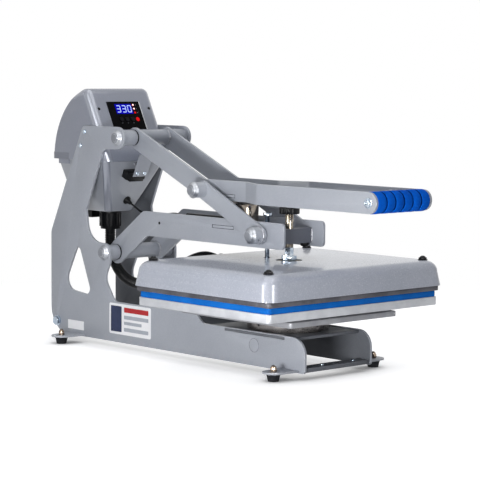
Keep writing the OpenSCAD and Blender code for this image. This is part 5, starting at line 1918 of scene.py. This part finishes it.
@dataclass
class FrameWork:
    """Side plates, deck, feet, pivots and the plates that are stuck on the left side."""

    outer_x: float = -102.0
    softened: tuple[tuple[str, str, float, Finish], ...] = (
        ("left_frame_plate", "left_side_plate", 1.6, FRAME_COAT),
        ("right_frame_plate", "right_side_plate", 1.6, FRAME_COAT),
        # The deck sheet and the front tie strip take the darker coat: painted shade.
        ("deck_sheet", "base_top_plate", 0.8, DECK_SHADE_COAT),
        ("front_tie_strip", "front_strip", 0.6, DECK_SHADE_COAT),
        ("rear_tie_tube", "rear_tie", 0.6, FRAME_COAT),
        ("foot_lugs", "foot_tabs", 1.0, FRAME_COAT),
        ("pivot_spacer_tubes", "pivot_spacers", 0.6, FRAME_COAT),
        ("rear_tie_bolts", "tie_bolts", 0.5, ZINC),
        ("rubber_foot_pads", "rubber_feet", 1.0, RUBBER),
        ("dome_foot_nuts", "foot_nuts", 0.4, BRASS),
        ("pan_screws", "panhead_screws", 0.3, ZINC),
    )
    shade_top: float = 430.0
    foil: float = 0.25
    plate_corner: float = 4.0
    small_corner: float = 1.5
    plate_lift: float = 0.05
    block_lift: float = 0.2
    ring: tuple[float, float, float] = (0.0, 58.0, 14.6)
    ring_section: Pairs = ((-0.5, -0.3), (0.5, -0.3), (0.5, 0.08), (-0.5, 0.08), (-0.5, -0.3))
    plate_at: Area = (338.0, 486.0, 33.0, 104.0)
    label_at: Area = (581.0, 641.0, 28.0, 49.0)
    blocks: tuple[tuple[float, float, float, float, Finish], ...] = (
        (0.04, 0.30, 0.08, 0.92, PLATE_SLATE),
        (0.36, 0.94, 0.74, 0.90, PLATE_RED),
        (0.36, 0.94, 0.52, 0.64, PLATE_GREY),
        (0.36, 0.78, 0.34, 0.44, PLATE_GREY),
        (0.36, 0.94, 0.12, 0.24, PLATE_GREY),
    )

    def sticker(self, label: str, area: Area, lift: float, corner: float) -> Piece:
        """Model a thin plate with round corners on the left side plate's outer face.

        Args:
            label: The piece's name.
            area: Its front and rear ends and its lower and upper edges, in millimetres.
            lift: Height of its underside off the side plate, in millimetres.
            corner: Its corner radius, in millimetres.

        Returns:
            The plate.
        """
        front, rear, low, high = area
        piece = Bench.slab(label, rear - front, high - low, corner, self.foil, steps=5)
        turn = Matrix(((0.0, 0.0, -1.0), (-1.0, 0.0, 0.0), (0.0, 1.0, 0.0))).to_4x4()
        Bench.settle(piece, placed(self.outer_x - lift, (front + rear) / 2.0, (low + high) / 2.0) @ turn)
        return piece

    def shade_inside(self, piece: Piece) -> None:
        """Give the inner faces of the side plates, below the ears, the deck's darker coat: painted shade.
        """
        for face in piece.data.polygons:
            inward = face.normal.x * face.center.x < 0.0 and abs(face.normal.x) > FACING
            if inward and face.center.z < mm(self.shade_top) and face.material_index == 0:
                face.material_index = 2

    def knockout(self) -> Piece:
        """Model the thin ring of a knock-out on the left rail.

        Returns:
            The ring.
        """
        y, z, radius = self.ring
        section = [(radius + out, up) for out, up in self.ring_section]
        piece = Bench.lathe("knockout_ring", section, steps=64)
        Bench.settle(piece, placed(self.outer_x, y, z) @ Matrix.Rotation(-math.pi / 2.0, 4, "Y"))
        return piece

    def build(self, shop: Workshop) -> None:
        """Model and deliver the frame."""
        for label, node, width, coat in self.softened:
            # Frame-coated pieces take the lighter edge coat as painted highlight and the darker coat on
            # their inner faces as painted shade.
            highlight_edges = coat is FRAME_COAT
            finishes = (FRAME_COAT, EDGE_HIGHLIGHT_COAT, DECK_SHADE_COAT) if highlight_edges else (coat,)
            piece = Bench.softened(label, node, width, highlight_edges=highlight_edges)
            if highlight_edges:
                self.shade_inside(piece)
            shop.deliver(piece, "base", *finishes, stands_for=[node])
        shop.deliver(self.knockout(), "base", MARKS)
        shop.repaint(BLACK_OXIDE, "socket_screws")
        plate = self.sticker("data_plate", self.plate_at, self.plate_lift, self.plate_corner)
        shop.deliver(plate, "base", PLATE_WHITE)
        front, rear, low, high = self.plate_at
        for index, (a, b, c, d, ink) in enumerate(self.blocks):
            area = (
                rear - b * (rear - front), rear - a * (rear - front),
                low + c * (high - low), low + d * (high - low),
            )
            block = self.sticker(f"data_plate_block_{index + 1}", area, self.block_lift, self.small_corner)
            shop.deliver(block, "base", ink)
        label = self.sticker("blank_label", self.label_at, self.plate_lift, self.small_corner)
        shop.deliver(label, "base", PLATE_WHITE)


@dataclass
class ArmsAndLinks:
    """Arms with their cross pieces, links with their bosses, welds and bumpers."""

    arm_nodes: tuple[tuple[str, str, float], ...] = (
        ("left_arm_plate", "left_arm", 1.6),
        ("right_arm_plate", "right_arm", 1.6),
        ("arm_pivot_tube", "arm_tube", 0.6),
    )
    welds: tuple[tuple[str, str, float, float, float, float], ...] = (
        ("handle_tube_weld", "handle", 43.6, 460.0, 484.0, 17.5),
        ("arm_tube_weld", "arm", 55.6, 507.0, 217.0, 17.5),
        ("link_boss_weld", "link", 72.8, 21.0, 290.0, 18.0),
    )
    bead_profile: Pairs = ((-0.4, -1.6), (1.0, -1.4), (2.0, 0.0), (1.0, 1.4), (-0.4, 1.6), (-0.4, -1.6))
    ripple_size: float = 6.0
    ripple_height: float = 1.2
    washers: tuple[tuple[str, float, float, float], ...] = (
        ("handle", 52.7, 460.0, 484.0),
        ("arm", 64.7, 507.0, 217.0),
    )
    washer: tuple[float, float, float] = (12.0, 18.0, 1.4)
    tabs: tuple[tuple[str, float, float, float, float], ...] = (
        ("handle", 51.0, 24.5, 364.0, 370.0),
        ("arm", 63.0, 34.0, 296.0, 302.0),
    )
    tab_y: float = 143.0
    tab_gap: float = 0.8
    tab_proud: float = 0.1
    tab_sunk: float = 0.4
    hole_at: Place = (60.05, 356.0, 294.0)
    hole: float = 3.3
    shade_fill_length: float = 6.2
    seam_at: tuple[float, float] = (56.2, 13.4)
    seam_ends: tuple[float, float] = (2.0, 30.0)
    seam_steps: int = 13
    seam_radius: float = 2.3
    seam_ripple: float = 0.7
    bumper_x: float = 47.0
    bumper_profile: Pairs = ((0.0, 0.0), (9.5, 0.0), (9.5, -5.2), (8.6, -7.2), (6.2, -8.6), (0.0, -9.0))
    bar_low: float = 270.0

    def bead(self, label: str, x: float, y: float, z: float, radius: float) -> Piece:
        """Model a rippled weld bead round a tube that lies along X.

        Args:
            label: The piece's name.
            x: Its place across the press, in millimetres.
            y: The tube's axis, behind.
            z: The tube's axis, height.
            radius: The tube's radius.

        Returns:
            The bead.
        """
        piece = Bench.lathe(label, [(radius + out, along) for out, along in self.bead_profile], steps=72)
        ripple = bpy.data.textures.new(label, "CLOUDS")
        ripple.noise_scale = mm(self.ripple_size)
        Bench.settle(piece, across(x, y, z))
        Bench.modify(
            piece, "DISPLACE", texture=ripple, strength=mm(self.ripple_height), mid_level=0.5,
            texture_coords="LOCAL",
        )
        Bench.smooth(piece, degrees=80.0)
        return piece

    def seams(self) -> Piece:
        """Model the weld seams where the cross bar meets the arms.

        Returns:
            The four seams.
        """
        low, high = (self.bar_low + end for end in self.seam_ends)
        steps = [low + (high - low) * k / self.seam_steps for k in range(self.seam_steps + 1)]
        profile = [(self.seam_radius - self.seam_ripple * (k % 2), z) for k, z in enumerate(steps)]
        bead = Bench.lathe("seam_bead", [(0.0, low), *profile, (0.0, high)], steps=16)
        wide, deep = self.seam_at
        piece = Bench.repeat(
            "bar_seams", bead, [placed(x, y, 0.0) for x in (-wide, wide) for y in (-deep, deep)]
        )
        Bench.smooth(piece, degrees=80.0)
        return piece

    def tab_gap_shade(self, label: str, face: float, half: float, low: float, high: float) -> Piece:
        """Model black strips round a cross plate's tabs, on the outer faces of the plates that hold it:
        painted shade in the gaps.

        Args:
            label: The piece's name.
            face: Where the outer faces lie across the press, in millimetres.
            half: Half of a tab's length.
            low: A tab's lower face.
            high: A tab's upper face.

        Returns:
            The strips of both sides.
        """
        wide = self.tab_gap
        front, rear = self.tab_y - half, self.tab_y + half
        bars = (
            (front - wide, rear + wide, low - wide, low),
            (front - wide, rear + wide, high, high + wide),
            (front - wide, front, low, high),
            (rear, rear + wide, low, high),
        )
        made = []
        for side in (-1.0, 1.0):
            left, right = sorted((side * (face - self.tab_sunk), side * (face + self.tab_proud)))
            made += [Bench.block(label, spot(left, y0, z0), spot(right, y1, z1)) for y0, y1, z0, z1 in bars]
        return Bench.join(label, made)

    def hole_shade_fills(self) -> Piece:
        """Model black fills in the arms' small holes: painted shade for their dark insides.

        Returns:
            The two fills.
        """
        x, y, z = self.hole_at
        made = [Bench.drill(self.hole, self.shade_fill_length, across(place, y, z)) for place in (-x, x)]
        piece = Bench.join("arm_hole_shade_fills", made)
        Bench.smooth(piece)
        return piece

    def washer_shade_pair(self, label: str, x: float, y: float, z: float) -> Piece:
        """Model black washers at the two ends of a pivot's tube, partly painted shade for the dark gap
        there.

        Args:
            label: The piece's name.
            x: Their place across the press, in millimetres.
            y: The pivot's axis, behind.
            z: The pivot's axis, height.

        Returns:
            The two washers.
        """
        bore, radius, half = self.washer
        section = [(bore, -half), (radius, -half), (radius, half), (bore, half), (bore, -half)]
        ring = Bench.lathe("washer", section, steps=56)
        piece = Bench.repeat(label, ring, [across(place, y, z) for place in (-x, x)])
        Bench.smooth(piece)
        return piece

    def bumpers(self) -> Piece:
        """Model the two black heads under the cross bar.

        Returns:
            The heads.
        """
        head = Bench.lathe("bumper_head", self.bumper_profile, steps=28)
        places = [placed(x, 0.0, self.bar_low) for x in (-self.bumper_x, self.bumper_x)]
        piece = Bench.repeat("bar_bumpers", head, places)
        Bench.smooth(piece, degrees=50.0)
        return piece

    def build(self, shop: Workshop) -> None:
        """Model and deliver the arms and the links."""
        # The arms' and links' rounded edges take the lighter edge coat: painted highlight.
        for label, node, width in self.arm_nodes:
            shop.soften(label, node, width, "arm", FRAME_COAT, EDGE_HIGHLIGHT_COAT, highlight_edges=True)
        # The cross bar's darker coat is partly painted shade.
        shop.soften("cross_bar", "cross_block", 1.0, "arm", BAR_COAT_AND_SHADE)
        shop.soften("magnet_tray", "magnet_plate", 0.7, "arm", FRAME_COAT)
        shop.soften("holding_magnet", "electromagnet", 0.8, "arm", NICKEL)
        shop.soften("cable_boot", "cable_sleeve", 0.8, "arm", PLASTIC)
        for side in ("left", "right"):
            shop.soften(
                f"{side}_link_plate", f"{side}_link", 1.4, "link", FRAME_COAT, EDGE_HIGHLIGHT_COAT, highlight_edges=True
            )
        for label, body, x, y, z, radius in self.welds:
            for side, place in (("left", -x), ("right", x)):
                shop.deliver(self.bead(f"{label}_{side}", place, y, z, radius), body, WELD)
        # Black fills in the arm holes: painted shade.
        shop.deliver(self.hole_shade_fills(), "arm", PLASTIC)
        for body, face, half, low, high in self.tabs:
            # Black strips round the tabs: painted shade.
            shop.deliver(self.tab_gap_shade(f"{body}_tab_gap_shade", face, half, low, high), body, BLACK_OXIDE)
        for body, x, y, z in self.washers:
            # Black washers at the pivot tube ends: partly painted shade.
            shop.deliver(self.washer_shade_pair(f"{body}_pivot_washer_shade", x, y, z), body, PLASTIC)
        shop.deliver(self.seams(), "arm", WELD)
        shop.deliver(self.bumpers(), "arm", PLASTIC)


@dataclass
class PivotCaps:
    """Pivot bolts with bright caps that taper to a ground face."""

    cap: float = 7.3
    edge: float = 0.7
    flat: float = 0.97
    narrow: float = 0.82
    longer: float = 1.012
    bolts: tuple[tuple[str, str, str, float, float], ...] = (
        ("upper_pivot_caps", "upper_pivot_bolt", "base", 460.0, 484.0),
        ("lower_pivot_caps", "lower_pivot_bolt", "base", 507.0, 217.0),
        ("toggle_caps", "toggle_bolts", "link", 202.0, 378.0),
        ("link_caps", "link_pins", "link", 21.0, 290.0),
    )

    def build(self, shop: Workshop) -> None:
        """Taper the caps at both ends of each bolt and deliver them."""
        for label, node, body, y, z in self.bolts:
            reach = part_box(node)[1].x - mm(self.cap)
            piece = Bench.softened(label, node, self.edge)
            with Bench.editing(piece):
                Bench.pick(piece, Part.VERTS, lambda v: abs(v.co.x) > reach)
                bpy.ops.transform.resize(
                    value=(self.longer, self.narrow, self.narrow), center_override=spot(0.0, y, z)
                )
            Bench.smooth(piece, degrees=28.0)
            for face in piece.data.polygons:
                face.material_index = int(abs(face.normal.x) > self.flat)
            shop.deliver(piece, body, CAP_COAT, CAP_FACE, stands_for=[node])


@dataclass
class Pressure:
    """Pressure screw and its knob."""

    bar_low: float = 272.0

    def build(self, shop: Workshop) -> None:
        """Model and deliver the screw and the knob."""
        stud = Bench.softened("pressure_stud", "pressure_screw", 0.4)
        for face in stud.data.polygons:
            face.material_index = int(face.center.z < mm(self.bar_low))
        shop.deliver(stud, "knob", STRAW_ZINC, ZINC, stands_for=["pressure_screw"])
        shop.soften("fluted_knob", "pressure_knob", 0.7, "knob", PLASTIC)


def main() -> None:
    """Build the studio, the cords and the sub-assemblies in order."""
    logging.basicConfig(level=logging.INFO, format="%(name)s: %(message)s")
    Studio().build()
    shop = Workshop()
    HeaterHose().build(shop)
    MagnetCable().build(shop)
    UpperPlaten().build(shop)
    LowerPlaten().build(shop)
    Handle().build(shop)
    ControlHead().build(shop)
    FrameWork().build(shop)
    ArmsAndLinks().build(shop)
    PivotCaps().build(shop)
    Pressure().build(shop)
    bare = sorted(set(NODES) - shop.dressed)
    log.info("nodes without a finish: %s", bare)


if __name__ == "__main__":
    main()
